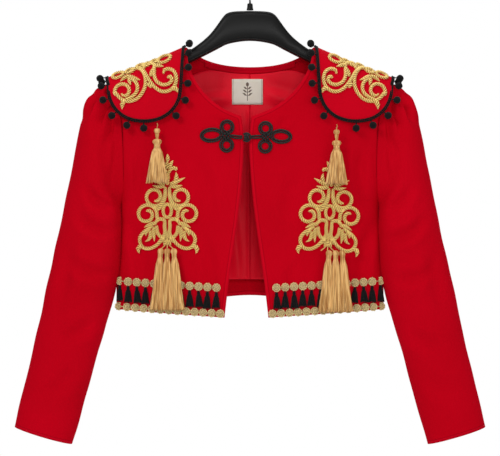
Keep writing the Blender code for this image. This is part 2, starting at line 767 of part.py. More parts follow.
def build_pompom_trim(side_name, side, grid, normals, gap_place):
    """Flat braid along the epaulette's rim with pompoms, but none where the tassel hangs."""
    at = epaulette_edge(grid, normals)
    surface = grid_surface(grid)
    middle = grid.reshape(-1, 3).mean(axis=0)
    probe = edge_frame(at, 0.3)
    flip = 1.0 if np.dot(probe[2], probe[0] - middle) > 0 else -1.0
    sections = []
    for k in range(BRAID_SECTIONS):
        point, normal, outward = edge_frame(at, k / BRAID_SECTIONS)
        outward = outward * flip
        place = surface.find_nearest(point - outward * (BRAID_WIDTH - BRAID_PROUD))[0]
        within = np.array(place)
        beyond = point + outward * BRAID_PROUD
        low = normal * BRAID_LIE
        high = normal * (BRAID_LIE + BRAID_HEIGHT)
        sections.append([within + low, beyond + low, beyond + high, within + high])
    bm = bmesh.new()
    add_tube(bm, sections, closed=True)
    braid = make_object(f"{side_name}_pompom_trim", bm, "black_yarn")
    bm = bmesh.new()
    for k in range(POMPOM_COUNT):
        point, normal, outward = edge_frame(at, (k + 0.5) / POMPOM_COUNT)
        outward = outward * flip
        in_front = point[1] < 0 and point[2] < TASSEL_EDGE_HEIGHT
        if in_front and abs(point[0] - gap_place) < TASSEL_CLEARANCE:
            continue
        start = point - outward * STALK_START + normal * (BRAID_LIE + BRAID_HEIGHT / 2)
        reach = POMPOM_REACH + STALK_START
        profile = [(STALK_RADIUS, 0.0), (STALK_RADIUS, reach - POMPOM_RADIUS * 0.97)]
        for turn in (58, 122):
            angle = math.radians(turn)
            profile.append((POMPOM_RADIUS * math.sin(angle), reach - POMPOM_RADIUS * math.cos(angle)))
        profile.append((STALK_RADIUS, reach + POMPOM_RADIUS))
        add_tube(bm, turned_rings(profile, start, outward, 6, normal, 1.0), closed=False)
    pompoms = make_object("pompoms", bm, "black_yarn")
    union(braid, pompoms)


# ---------------------------------------------------------------- trims on the fronts
def build_applique(side_name, side, axis, drop, tilt):
    """A plate of the scrollwork's reach, bent to the front it lies on."""
    grids = []
    for lift in (LIE + APPLIQUE_THICKNESS, LIE):
        grid = []
        for height, half_width in APPLIQUE:
            row = []
            for c in range(7):
                away = half_width * (c / 3 - 1)
                fall = height - APPLIQUE[0][0]
                x = side * axis + away * math.cos(tilt) + fall * math.sin(tilt)
                z = APPLIQUE[0][0] - drop + fall * math.cos(tilt) - away * math.sin(tilt)
                row.append(form_point(x, z, -1, lift))
            grid.append(row)
        grids.append(np.array(grid))
    wall_object(f"{side_name}_front_applique", grids[0], grids[1], "gold_rope")


def build_tassel(name, top, down, profile, lift, finish):
    """A turned tassel that lies in front of the cloth at its widest point."""
    widest = max(radius for radius, _ in profile) * TASSEL_FLATNESS
    length = profile[-1][1]
    x, height = top
    under = max(torso_depth(abs(x + down[0] * s * length), height - s * length, FRONT_FOLDS)
                for s in (0.0, 0.3, 0.6, 1.0))
    start = (x, -under - widest - lift, height)
    bm = bmesh.new()
    add_tube(bm, turned_rings(profile, start, down, 12, (0, 1, 0), TASSEL_FLATNESS), closed=False)
    make_object(name, bm, finish)


def build_front_tassels(side_name, side, axis, drop, tilt):
    bottom = APPLIQUE[-1][0] - APPLIQUE[0][0]
    middle_x = side * axis + bottom * math.sin(tilt)
    top = APPLIQUE[-1][0] - drop + FRONT_TASSEL_RISE
    for place, name in ((-1, "inner"), (0, "middle"), (1, "outer")):
        x = middle_x + side * place * FRONT_TASSEL_SPACING
        lean = side * place * FRONT_TASSEL_LEAN
        build_tassel(f"{side_name}_front_tassel_{name}", (x, top), (lean, 0, -1), FRONT_TASSEL,
                     LIE + APPLIQUE_THICKNESS + SEAM, "gold_thread")


def band_grid(outer_grid, normals, low, high, lift, start, scallop):
    """Two rows of points over a front, at heights above the hem, from near the front edge."""
    hem = outer_grid[0]
    rise = outer_grid[1] - outer_grid[0]
    span = np.linalg.norm(rise, axis=1, keepdims=True)
    lengths = np.concatenate(((0.0,), np.cumsum(np.linalg.norm(np.diff(hem, axis=0), axis=1))))
    usable = lengths[-1] - start - SIDE_MARGIN
    count = round(usable / GIMP_PITCH)
    steps = count * 3 if scallop else PANEL_COLUMNS * 2
    rows = [[], []]
    for k in range(steps + 1):
        where = start + usable * k / steps
        wave = abs(math.sin(math.pi * count * k / steps)) * 0.3 + 0.7 if scallop else 1.0

        def pick(values):
            return np.array([np.interp(where, lengths, values[:, axis]) for axis in range(3)])

        base = pick(hem)
        up = pick(rise / span)
        normal = unit(pick(normals[0]))
        middle = (low + high) / 2
        half = (high - low) / 2 * wave
        rows[0].append(base + up * (middle - half) + normal * lift)
        rows[1].append(base + up * (middle + half) + normal * lift)
    return np.array(rows)


def build_hem_trims(side_name, outer_grid):
    normals = grid_normals(outer_grid, np.array((0.0, -1.0, 0.0)))
    upper = (UPPER_GIMP_HEIGHT - GIMP_HALF_HEIGHT, UPPER_GIMP_HEIGHT + GIMP_HALF_HEIGHT)
    lower = (LOWER_GIMP_HEIGHT - GIMP_HALF_HEIGHT, LOWER_GIMP_HEIGHT + GIMP_HALF_HEIGHT)
    bands = (
        # name, heights, start, thickness, scallop, finish
        ("upper_gimp", upper, UPPER_START, GIMP_THICKNESS, True, "pale_gold"),
        ("lower_gimp", lower, LOWER_START, GIMP_THICKNESS, True, "pale_gold"),
        ("hem_fringe", (lower[1] + SEAM, upper[0] - SEAM), UPPER_START, FRINGE_THICKNESS, False,
         "black_yarn"),
    )
    for name, (low, high), start, thickness, scallop, finish in bands:
        inner = band_grid(outer_grid, normals, low, high, LIE, start, scallop)
        outer = band_grid(outer_grid, normals, low, high, LIE + thickness, start, scallop)
        wall_object(f"{side_name}_{name}", outer, inner, finish)


# ---------------------------------------------------------------- frog
def frog_depth(x, height):
    return -torso_depth(abs(x), height, FRONT_FOLDS) - LIE - FROG_CORD[1]


def add_frog_ring(bm, centre_x, centre_z, radius_x, radius_z, cord, half_turn=math.pi):
    """A ring of cord lying on the fronts, or a C open towards -X with a smaller half turn."""
    sections = []
    closed = half_turn == math.pi
    for k in range(14):
        turn = half_turn * (2 * k / 14 - 1) if closed else half_turn * (2 * k / 13 - 1)
        x = centre_x + radius_x * math.cos(turn)
        z = centre_z + radius_z * math.sin(turn)
        outward = Vector((math.cos(turn) / radius_x, 0, math.sin(turn) / radius_z)).normalized()
        centre = Vector((x, frog_depth(x, z), z))
        ring = []
        for m in range(6):
            angle = 2 * math.pi * (m + 0.5) / 6
            ring.append(centre + outward * cord[0] * math.cos(angle)
                        + Vector((0, cord[1] * math.sin(angle), 0)))
        sections.append(ring)
    add_tube(bm, sections, closed=closed)


def frog_lump(centre_x, centre_z, half_x, half_z, half_depth, forward=0.0):
    """A rounded knot of cord, a little proud of the rings."""
    bm = bmesh.new()
    bmesh.ops.create_icosphere(bm, subdivisions=1, radius=1.0)
    y = frog_depth(centre_x, centre_z) - (half_depth - FROG_CORD[1]) - forward
    place = Matrix.Translation((centre_x, y, centre_z))
    bm.transform(place @ Matrix.Diagonal((half_x, half_depth, half_z, 1.0)))
    return make_object("knot", bm, "black_yarn")


def frog_bar(x_0, x_1, height):
    """The flat bar of doubled cord from a knot to the button or its loop."""
    half_height, half_depth = FROG_BAR
    bm = bmesh.new()
    sections = []
    for k in range(4):
        x = x_0 + (x_1 - x_0) * k / 3
        y = frog_depth(x, height)
        sections.append([(x, y + half_depth * math.sin(a), height + half_height * math.cos(a))
                         for a in (math.radians(d) for d in range(30, 390, 60))])
    add_tube(bm, sections, closed=False)
    return make_object("bar", bm, "black_yarn")


def build_frogs():
    button_x, button_z, button_half_x, button_half_z = FROG_BUTTON
    for name, rings in FROG_RINGS.items():
        knot_x, knot_z = FROG_KNOTS[name]
        knot = frog_lump(knot_x, knot_z, *FROG_KNOT)
        knot.name = name
        for ring in rings:
            bm = bmesh.new()
            add_frog_ring(bm, *ring, FROG_CORD)
            union(knot, make_object("ring", bm, "black_yarn"))
        if name == "frog_button_side":
            union(knot, frog_bar(knot_x + FROG_OVERLAP, button_x - 0.001, knot_z - 0.0008))
            union(knot, frog_lump(button_x, button_z, button_half_x, button_half_z, *BUTTON_DEPTH))
        else:
            bm = bmesh.new()
            add_frog_ring(bm, button_x + 0.001, button_z, *FROG_LOOP, FROG_LOOP_CORD, LOOP_HALF_TURN)
            union(knot, make_object("ring", bm, "black_yarn"))
            union(knot, frog_bar(button_x + FROG_LOOP[0], knot_x - FROG_OVERLAP, knot_z - 0.0006))


# ---------------------------------------------------------------- inside the back
def inside_back(x, height, lift):
    """A point inside the back, moved in from its outer face by the wall and a lift."""
    return form_point(x, height, 1, -WALL - lift)


def build_back_facings():
    """Self-cloth strips inside the neck edge and inside the hem of the back."""
    outer = [[], []]
    inner = [[], []]
    for k in range(-12, 13):
        share = abs(k) / 12 * FACING_SHARE
        reach, height = BACK_NECKLINE_AT(share)
        for row, drop in enumerate((0.0006, FACING_WIDTH)):
            z = height - drop
            x = math.copysign(reach, k)
            outer[row].append(inside_back(x, z, FACING_LIE))
            inner[row].append(inside_back(x, z, FACING_LIE + THIN_WALL))
    wall_object("back_neck_facing", outer, inner, "red_cloth")
    outer = [[], []]
    inner = [[], []]
    for k in range(-8, 9):
        reach = LINING_REACH * k / 8
        bottom = BACK_HEM[1] + (BACK_HEM[0] - BACK_HEM[1]) * abs(reach) / TORSO_AT(BACK_HEM[0])[0]
        for row, z in enumerate((bottom + 0.0008, LINING_BOTTOM - SEAM)):
            outer[row].append(inside_back(reach, z, LIE))
            inner[row].append(inside_back(reach, z, LIE + THIN_WALL))
    wall_object("back_hem_facing", outer, inner, "red_cloth")


def lining_top(reach):
    """Upper edge of the lining: under the neck facing, then clear of the hanger."""
    shares = np.linspace(0, 1, 40)
    neck = np.array([BACK_NECKLINE_AT(s) for s in shares])
    at_neck = float(np.interp(reach, neck[:, 0], neck[:, 1])) - FACING_WIDTH - 3 * SEAM
    at_shoulder = ridge_height(reach) - LINING_BELOW_SHOULDER
    return min(at_neck, at_shoulder)


def build_lining():
    """Satin inside the back, in two halves that meet at the centre-back seam."""
    rows = 12
    for side_name, side in (("right", -1), ("left", 1)):
        outer = []
        inner = []
        for r in range(rows + 1):
            outer_row = []
            inner_row = []
            for c in range(8):
                reach = SEAM / 2 + (LINING_REACH - SEAM / 2) * c / 7
                top = lining_top(reach)
                z = LINING_BOTTOM + (top - LINING_BOTTOM) * r / rows
                outer_row.append(inside_back(side * reach, z, LINING_LIE))
                inner_row.append(inside_back(side * reach, z, LINING_LIE + THIN_WALL))
            outer.append(outer_row)
            inner.append(inner_row)
        wall_object(f"{side_name}_lining", outer, inner, "satin")


def build_label():
    lift = LINING_LIE + THIN_WALL + LIE
    outer = []
    inner = []
    for z in (LABEL_BOTTOM, (LABEL_BOTTOM + LABEL_TOP) / 2, LABEL_TOP):
        outer_row = []
        inner_row = []
        for c in range(5):
            x = LABEL_X + LABEL_WIDTH * (c / 4 - 0.5)
            outer_row.append(inside_back(x, z, lift))
            inner_row.append(inside_back(x, z, lift + THIN_WALL))
        outer.append(outer_row)
        inner.append(inner_row)
    wall_object("neck_label", outer, inner, "label_weave")


# ---------------------------------------------------------------- hanger
def build_hanger():
    """A wide-shouldered moulded hanger: body, socket and wire hook."""
    reaches = [row[0] for row in HANGER]
    reaches = [-r for r in reversed(reaches[1:])] + reaches
    sections = []
    for reach in reaches:
        top, bottom, half_depth = (float(np.interp(abs(reach), HANGER_AT[:, 0], HANGER_AT[:, k]))
                                   for k in (1, 2, 3))
        middle = (top + bottom) / 2
        ring = []
        for k in range(12):
            turn = 2 * math.pi * k / 12
            power = 2 / HANGER_DEPTH_POWER
            y = half_depth * math.copysign(abs(math.sin(turn)) ** power, math.sin(turn))
            z = middle + (top - bottom) / 2 * math.copysign(abs(math.cos(turn)) ** power, math.cos(turn))
            ring.append((reach, y, z))
        sections.append(ring)
    bm = bmesh.new()
    add_tube(bm, sections, closed=False)
    make_object("hanger_body", bm, "black_plastic")
    base = HANGER[0][1] + SEAM
    profile = ((SOCKET_RADIUS * 1.25, base), (SOCKET_RADIUS * 1.15, base + SOCKET_FOOT[0]),
               (SOCKET_RADIUS, base + SOCKET_FOOT[1]), (SOCKET_RADIUS, SOCKET_TOP - 0.001),
               (SOCKET_RADIUS * 0.8, SOCKET_TOP))
    bm = bmesh.new()
    add_tube(bm, [[(r * math.cos(2 * math.pi * k / 16), r * math.sin(2 * math.pi * k / 16), z)
                   for k in range(16)] for r, z in profile], closed=False)
    make_object("hanger_socket", bm, "black_plastic")
    build_hook()


def build_hook():
    """Bent wire: a stem, a sweep out to one side and three quarters of a ring."""
    ring_radius = HOOK_INNER + HOOK_WIRE
    centre_z = -HOOK_INNER
    route = [Vector((0, 0, SOCKET_TOP + SEAM)), Vector((0, 0, SOCKET_TOP + HOOK_STEM[0]))]
    first, last = HOOK_TURNS
    turn = math.radians(first)
    end = Vector((ring_radius * math.cos(turn), 0, centre_z + ring_radius * math.sin(turn)))
    start = Vector((0, 0, SOCKET_TOP + HOOK_STEM[1]))
    for k in range(9):
        t = k / 8
        ease = t * t * (3 - 2 * t)
        route.append(Vector((start.x + (end.x - start.x) * ease, 0, start.z + (end.z - start.z) * t)))
    for k in range(1, 25):
        turn = math.radians(first + (last - first) * k / 24)
        route.append(Vector((ring_radius * math.cos(turn), 0, centre_z + ring_radius * math.sin(turn))))
    curve = bpy.data.curves.new("hanger_hook", "CURVE")
    curve.dimensions = "3D"
    curve.bevel_depth = HOOK_WIRE
    curve.bevel_resolution = 2
    curve.use_fill_caps = True
    spline = curve.splines.new("POLY")
    spline.points.add(len(route) - 1)
    for point, place in zip(spline.points, route):
        point.co = (*place, 1.0)
    curve.materials.append(finish_material("hook_wire"))
    hook = bpy.data.objects.new("hanger_hook", curve)
    bpy.context.scene.collection.objects.link(hook)


# ---------------------------------------------------------------- the whole garment
def build_all():
    clear_scene()
    fronts = build_fronts()
    backs = build_back()
    for side_name, side, axis, drop, tilt, tassel_reach, tassel_top in TRIM_PLACES:
        build_sleeve(f"{side_name}_sleeve", side, fronts[side], backs[side])
        grid, normals = build_epaulette(side_name, side)
        build_epaulette_embroidery(side_name, side)
        build_pompom_trim(side_name, side, grid, normals, side * tassel_reach)
        build_tassel(f"{side_name}_epaulette_tassel", (side * tassel_reach, tassel_top),
                     (0, 0, -1), EPAULETTE_TASSEL, LIE + APPLIQUE_THICKNESS + SEAM, "gold_thread")
        build_applique(side_name, side, axis, drop, tilt * side)
        build_front_tassels(side_name, side, axis, drop, tilt * side)
        build_hem_trims(side_name, fronts[side][0])
    build_frogs()
    build_back_facings()
    build_lining()
    build_label()
    build_hanger()


build_all()
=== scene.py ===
# %% [markdown]
# # A matador jacket on its hanger
# The real object is a cropped red jacket with no collar. One black frog closes it at the
# top, gold cord and tassels cover its front, and it hangs on a broad black hanger. Here
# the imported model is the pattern: every panel keeps its place, and is made into soft
# cloth, rope and thread. The frame is opened first, because everything hangs on it.

# %% Open the frame and measure it
import math
import random

import bmesh
import bpy
import numpy as np
from mathutils import Matrix, Vector
from mathutils.bvhtree import BVHTree
from mathutils.kdtree import KDTree


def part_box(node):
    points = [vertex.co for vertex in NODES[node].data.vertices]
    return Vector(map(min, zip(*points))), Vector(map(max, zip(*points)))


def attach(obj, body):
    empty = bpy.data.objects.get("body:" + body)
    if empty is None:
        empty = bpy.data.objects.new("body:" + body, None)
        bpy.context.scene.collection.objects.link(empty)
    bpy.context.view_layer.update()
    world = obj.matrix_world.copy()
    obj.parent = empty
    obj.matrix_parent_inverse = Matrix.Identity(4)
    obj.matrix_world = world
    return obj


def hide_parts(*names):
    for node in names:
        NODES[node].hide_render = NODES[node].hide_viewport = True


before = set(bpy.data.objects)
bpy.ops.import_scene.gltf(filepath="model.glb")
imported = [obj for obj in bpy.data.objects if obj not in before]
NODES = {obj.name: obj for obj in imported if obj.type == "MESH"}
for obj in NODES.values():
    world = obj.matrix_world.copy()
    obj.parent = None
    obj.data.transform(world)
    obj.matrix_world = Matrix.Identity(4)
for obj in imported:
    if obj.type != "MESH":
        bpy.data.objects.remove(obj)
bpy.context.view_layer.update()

MM = 0.001


# %% [markdown]
# ## The workbench
# Blender's operators act on whatever is selected, so a few small helpers pick one piece
# at a time. `hand_over` gives each finished piece its finish, hangs it on the jacket's
# body and hides the rough solids it stands for.

# %% Pick, join and hand over
def pick(*pieces):
    """Only these pieces are selected, and the first is active."""
    bpy.ops.object.select_all(action="DESELECT")
    for piece in pieces:
        piece.select_set(True)
    bpy.context.view_layer.objects.active = pieces[0]


def join(name, pieces):
    """Several pieces made into one, which takes that name."""
    pick(*pieces)
    if len(pieces) > 1:
        bpy.ops.object.join()
    pieces[0].name = name
    pieces[0].data.name = name
    return pieces[0]


def triangles(piece):
    """How many triangles the piece comes to."""
    return sum(len(face.vertices) - 2 for face in piece.data.polygons)


def hand_over(piece, finish, slot_name, *nodes):
    """The piece gets its finish, rides on the jacket and stands for those nodes."""
    piece.data.materials.clear()
    piece.data.materials.append(finish)
    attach(piece, "root")
    if nodes:
        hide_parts(*nodes)
    print(piece.name, "has", triangles(piece), "triangles")
    return piece


# %% [markdown]
# ## Shader maths in plain Python
# A finish is a small net of nodes. Written as Python sums it is easier to read: `Wire`
# holds one output, and adding or multiplying wires places the Math nodes.

# %% Wires
class Wire:
    """One output in a finish; sums with it add Math nodes."""

    def __init__(self, finish, socket):
        self.finish = finish
        self.socket = socket

    def __add__(self, other):
        return self.finish.maths("ADD", self, other)

    def __sub__(self, other):
        return self.finish.maths("SUBTRACT", self, other)

    def __mul__(self, other):
        return self.finish.maths("MULTIPLY", self, other)

    def __rsub__(self, other):
        return self.finish.maths("SUBTRACT", other, self)

    __radd__ = __add__


# %% Finishes
class Finish:
    """A material: its shader's constant values, and nodes for what changes."""

    def __init__(self, name, **constants):
        self.material = bpy.data.materials.new(name)
        self.material.use_nodes = True
        self.tree = self.material.node_tree
        self.shader = self.tree.nodes["Principled BSDF"]
        for key, value in constants.items():
            self.shader.inputs[key.replace("_", " ")].default_value = value

    def node(self, kind, settings=None, inputs=None, output=0):
        """Any node: its settings first, then values or wires for its sockets."""
        made = self.tree.nodes.new(kind)
        for key, value in (settings or {}).items():
            setattr(made, key, value)
        for key, value in (inputs or {}).items():
            if isinstance(value, Wire):
                self.tree.links.new(value.socket, made.inputs[key])
            elif value is not None:
                made.inputs[key].default_value = value
        return Wire(self, made.outputs[output])

    def maths(self, operation, first, second=None):
        return self.node("ShaderNodeMath", {"operation": operation}, {0: first, 1: second})

    def mix(self, share, low, high):
        """A colour between two colours."""
        sockets = {0: share, 6: low, 7: high}
        return self.node("ShaderNodeMix", {"data_type": "RGBA"}, sockets, output=2)

    def between(self, value, low, high):
        """0 below the low value, 1 above the high one, and smooth between."""
        sockets = {"Value": value, "From Min": low, "From Max": high}
        return self.node("ShaderNodeMapRange", {"interpolation_type": "SMOOTHSTEP"}, sockets)

    def noise(self, scale, detail=3.0, stretch=(1.0, 1.0, 1.0)):
        """Cloudy values from 0 to 1, fixed to the object."""
        place = self.node("ShaderNodeTexCoord", output=3)
        turned = self.node("ShaderNodeMapping", {}, {"Vector": place, "Scale": stretch})
        sockets = {"Vector": turned, "Scale": scale, "Detail": detail}
        return self.node("ShaderNodeTexNoise", {}, sockets)

    def wave(self, direction, scale):
        """Even bands across the object's X, Y or Z, from 0 to 1."""
        place = self.node("ShaderNodeTexCoord", output=3)
        settings = {"wave_type": "BANDS", "bands_direction": direction}
        sockets = {"Vector": place, "Scale": scale}
        return self.node("ShaderNodeTexWave", settings, sockets, output=1)

    def attribute(self, name):
        """A value kept in the mesh's points."""
        return self.node("ShaderNodeAttribute", {"attribute_name": name}, output=2)

    def feed(self, **wires):
        """Links wires to the shader's own sockets; `height` goes through a Bump node."""
        depth = wires.pop("depth", 0.001)
        height = wires.pop("height", None)
        if height is not None:
            wires["Normal"] = self.node("ShaderNodeBump", {}, {"Distance": depth, "Height": height})
        for key, wire in wires.items():
            self.tree.links.new(wire.socket, self.shader.inputs[key.replace("_", " ")])
        return self.material


# %% Paint
def paint(red, green, blue):
    """A screen colour, from 0 to 255, made linear; the darkest 10 steps are a straight line."""
    straight = 255 * 12.92
    linear = [((c / 255 + 0.055) / 1.055) ** 2.4 if c > 10 else c / straight for c in (red, green, blue)]
    return (*linear, 1.0)


# %% [markdown]
# ## The cloth
# The jacket is cut from one red woollen cloth with a short nap. Nap is what makes its
# turned-away parts look paler, so the shader's sheen is on. The weave is too fine to
# model, so two crossing waves raise it a hair. Along the opening and the neckline the
# cloth is turned in and stitched: `edge_distance`, kept in each panel's points, places
# that ridge and its row of stitches. The raised ridge gets a painted highlight, and the
# sunken row of stitches gets painted shade.

# %% Red cloth and satin lining
TURNED_IN = (0.0045, 0.0056)    # metres: where the turned-in strip ends under the cloth
STITCHES_AT = 0.0052            # metres from the edge to the row of stitches
STITCH_WIDTH = (0.0002, 0.0009)
WEAVE = 380.0


def red_cloth():
    cloth = Finish(
        "red_cloth", Sheen_Weight=0.35, Sheen_Roughness=0.36, Sheen_Tint=paint(255, 20, 60),
        Specular_IOR_Level=0.03, IOR=1.45,
    )
    cloud = cloth.noise(9.0, 4.0)
    fibre = cloth.noise(900.0, 2.0)
    edge = cloth.attribute("edge_distance")
    stitch_groove_shade = 1 - cloth.between(cloth.maths("ABSOLUTE", edge - STITCHES_AT), *STITCH_WIDTH)
    turned_in_highlight = 1 - cloth.between(edge, *TURNED_IN)
    ground = cloth.mix(cloud, paint(179, 0, 19), paint(200, 0, 27))
    ground = cloth.mix(fibre * 0.30, ground, paint(150, 0, 12))
    # painted highlight: the raised turned-in strip is painted lighter and pinker
    ground = cloth.mix(turned_in_highlight * 0.22, ground, paint(215, 12, 38))
    # painted shade: the sunken row of stitches is painted darker
    ground = cloth.mix(stitch_groove_shade * 0.45, ground, paint(128, 0, 12))
    weave = cloth.wave("X", WEAVE) + cloth.wave("Z", WEAVE)
    height = weave * 0.12 + fibre * 0.25 + turned_in_highlight * 0.55 - stitch_groove_shade * 0.5
    rough = 0.78 + fibre * 0.14
    return cloth.feed(Base_Color=ground, Roughness=rough, height=height, depth=0.0004)


def satin_lining():
    satin = Finish(
        "satin_lining", Sheen_Weight=0.10, Sheen_Roughness=0.3, Sheen_Tint=paint(255, 30, 50),
        Specular_IOR_Level=0.10,
    )
    cloud = satin.noise(14.0, 3.0, (1.0, 1.0, 0.25))
    thread = satin.noise(700.0, 2.0, (1.0, 1.0, 0.15))
    ground = satin.mix(cloud, paint(206, 2, 28), paint(236, 12, 42))
    rough = 0.44 + thread * 0.16
    return satin.feed(Base_Color=ground, Roughness=rough, height=thread, depth=0.0002)


RED_CLOTH = red_cloth()
SATIN = satin_lining()


# %% [markdown]
# A panel of the pattern is a thin wall of loose triangles. It is copied, its points are
# welded, the triangles are paired into quads, its cut edges are creased so that they stay
# crisp, and a Subdivision Surface makes it fine enough to crease like cloth. A cloth
# simulation could hang it too, but the jacket is stiff and already lies on its hanger,
# and folds listed one by one are the ones the real jacket has.

# %% Make a panel soft
WELD_GAP = 0.00002      # metres: points nearer to each other than this are one point


def soft_panel(node_name, name, levels):
    """A fine, smooth copy of a wall, with its cut edges kept."""
    source = NODES[node_name]
    panel = source.copy()
    panel.data = source.data.copy()
    panel.name = name
    for key in list(panel.keys()):
        del panel[key]
    panel.parent = None
    bpy.context.scene.collection.objects.link(panel)
    pick(panel)
    bpy.ops.object.mode_set(mode="EDIT")
    bpy.ops.mesh.select_mode(type="EDGE")
    bpy.ops.mesh.select_all(action="SELECT")
    bpy.ops.mesh.remove_doubles(threshold=WELD_GAP)
    bpy.ops.mesh.tris_convert_to_quads(face_threshold=math.radians(50), shape_threshold=math.radians(60))
    bpy.ops.mesh.select_all(action="DESELECT")
    bpy.ops.mesh.edges_select_sharp(sharpness=math.radians(52))
    bpy.ops.transform.edge_crease(value=1.0)
    bpy.ops.object.mode_set(mode="OBJECT")
    smooth = panel.modifiers.new("soft", "SUBSURF")
    smooth.levels = levels
    smooth.render_levels = levels
    bpy.ops.object.modifier_apply(modifier="soft")
    bpy.ops.object.shade_smooth_by_angle(angle=math.radians(48))
    return panel


# %% Small sums on points
FULL_TURN = 6.28        # radians, near enough for a chance angle


def points_of(piece):
    """The piece's points, as rows of x, y, z."""
    co = np.empty(len(piece.data.vertices) * 3)
    piece.data.vertices.foreach_get("co", co)
    return co.reshape(-1, 3)


def set_points(piece, points):
    piece.data.vertices.foreach_set("co", np.asarray(points, float).ravel())
    piece.data.update()


def set_value(piece, name, values):
    """Keeps a value in each point of a piece, where its finish can read it."""
    layer = piece.data.attributes.new(name, "FLOAT", "POINT")
    layer.data.foreach_set("value", values)


def smooth_step(value, low, high):
    """0 below the low value, 1 above the high one, and smooth between."""
    share = np.clip((value - low) / (high - low), 0.0, 1.0)
    return share * share * (3.0 - 2.0 * share)


def eased(rows, times):
    """Averages each row with its two neighbours, in place; the end rows stay."""
    for _ in range(times):
        rows[1:-1] = (rows[:-2] + rows[1:-1] * 2 + rows[2:]) / 4


def unit(rows):
    return rows / np.linalg.norm(rows, axis=1)[:, None]


def length_of(line):
    return np.linalg.norm(np.diff(line, axis=0), axis=1).sum()


# %% Creases and waves
CREASE_STRENGTH = 2.3   # times the depths in the tables
CREASE_BOW = 0.06       # how far a crease bends off its straight line, in its own lengths
RIDGE = (0.45, 1.7, 1.3)    # the low ridge beside a trough: height, place in widths, sharpness
WAVE_COUNT = 5
WAVE_HEIGHT = 0.0011


def crease(x, z, start, end, width, depth):
    """How deep one crease is at (x, z): a soft trough from start to end, in metres."""
    (x_0, z_0), (x_1, z_1) = start, end
    length = math.hypot(x_1 - x_0, z_1 - z_0)
    dir_x, dir_z = (x_1 - x_0) / length, (z_1 - z_0) / length
    along = ((x - x_0) * dir_x + (z - z_0) * dir_z) / length
    bow = CREASE_BOW * length * np.sin(np.clip(along, 0, 1) * math.pi)
    across = ((x - x_0) * dir_z - (z - z_0) * dir_x - bow) / width
    ends = smooth_step(along, -0.05, 0.35) * (1 - smooth_step(along, 0.55, 1.1))
    height, place, sharpness = RIDGE
    ridge = height * (np.exp(-((np.abs(across) - place) ** 2) * sharpness))
    return CREASE_STRENGTH * depth * ends * (np.exp(-(across**2)) - ridge)


def creases(x, z, table, side):
    """All of a table's creases together; the side mirrors them across the body."""
    total = np.zeros(len(x))
    for x_0, z_0, x_1, z_1, width, depth in table:
        total += crease(x * side, z, (x_0, z_0), (x_1, z_1), width, depth)
    return total


def slight_waves(points, seed):
    """A few long, shallow waves, so that no panel is perfectly even."""
    draw = random.Random(seed)
    total = np.zeros(len(points))
    for _ in range(WAVE_COUNT):
        turn = draw.uniform(0, math.pi)
        pitch = draw.uniform(0.05, 0.14)
        phase = draw.uniform(0, FULL_TURN)
        line = points[:, 0] * math.cos(turn) + points[:, 2] * math.sin(turn)
        total += np.sin(line / pitch * FULL_TURN + phase) / WAVE_COUNT
    return total * WAVE_HEIGHT


# %% [markdown]
# ### Fronts
# Each front hangs from the shoulder and the hanger, and falls almost straight. Its folds
# are long and shallow: one from the bust to the hem, one that leans in from the side, and
# short ones under the epaulette. They are uneven on purpose and differ on the two sides.

# %% Where the body's creases are
FRONT_CREASES = {
    "right": (
        # x, z of the start, x, z of the end, width, depth
        (0.192, -0.395, 0.168, -0.530, 0.0110, 0.0022),
        (0.178, -0.300, 0.186, -0.395, 0.0080, 0.0016),
        (0.085, -0.300, 0.066, -0.420, 0.0120, 0.0012),
        (0.075, -0.430, 0.062, -0.545, 0.0100, 0.0014),
        (0.120, -0.470, 0.114, -0.548, 0.0085, 0.0010),
        (0.055, -0.247, 0.038, -0.262, 0.0050, 0.0006),
    ),
    "left": (
        (0.196, -0.400, 0.176, -0.520, 0.0100, 0.0020),
        (0.176, -0.290, 0.184, -0.380, 0.0090, 0.0018),
        (0.080, -0.320, 0.058, -0.440, 0.0130, 0.0013),
        (0.148, -0.475, 0.136, -0.550, 0.0090, 0.0012),
        (0.070, -0.470, 0.060, -0.550, 0.0080, 0.0011),
        (0.060, -0.245, 0.044, -0.266, 0.0055, 0.0007),
    ),
}
BACK_CREASES = (
    (0.150, -0.230, 0.175, -0.360, 0.0120, 0.0022),
    (0.120, -0.300, 0.132, -0.500, 0.0150, 0.0026),
    (0.060, -0.340, 0.052, -0.520, 0.0120, 0.0020),
    (-0.040, -0.360, -0.030, -0.525, 0.0130, 0.0022),
    (-0.100, -0.280, -0.118, -0.490, 0.0140, 0.0026),
    (-0.160, -0.240, -0.180, -0.370, 0.0120, 0.0020),
    (0.020, -0.200, 0.090, -0.215, 0.0100, 0.0012),
    (-0.025, -0.210, -0.095, -0.224, 0.0090, 0.0011),
)
SIDES = {"right": -1, "left": 1}


# %% Edges that are turned in
CUT_EDGE_ANGLE = 0.9    # radians: where a panel turns more sharply than this it was cut
CHUNK = 64              # edge points compared at a time, to save memory


def set_edge_distance(panel, edge_points):
    """Keeps, in each point of a panel, how far it is from the edges that were turned in."""
    points = points_of(panel)[:, [0, 2]]
    nearest = np.full(len(points), 1.0)
    for edge in np.array_split(np.asarray(edge_points), max(1, len(edge_points) // CHUNK)):
        gaps = np.linalg.norm(points[:, None, :] - edge[None, :, :], axis=2)
        nearest = np.minimum(nearest, gaps.min(axis=1))
    set_value(panel, "edge_distance", nearest)


def is_cut(edge):
    return len(edge.link_faces) == 2 and edge.calc_face_angle(0.0) > CUT_EDGE_ANGLE


def rim_points(panel, keep):
    """Points (x, z) along a panel's cut edges where keep(x, z) holds, every 1 mm or so."""
    mesh = bmesh.new()
    mesh.from_mesh(panel.data)
    found = []
    for edge in mesh.edges:
        if is_cut(edge):
            a, b = edge.verts[0].co, edge.verts[1].co
            for share in (0.0, 0.33, 0.67):
                point = a.lerp(b, share)
                if keep(point.x, point.z):
                    found.append((point.x, point.z))
    mesh.free()
    return found


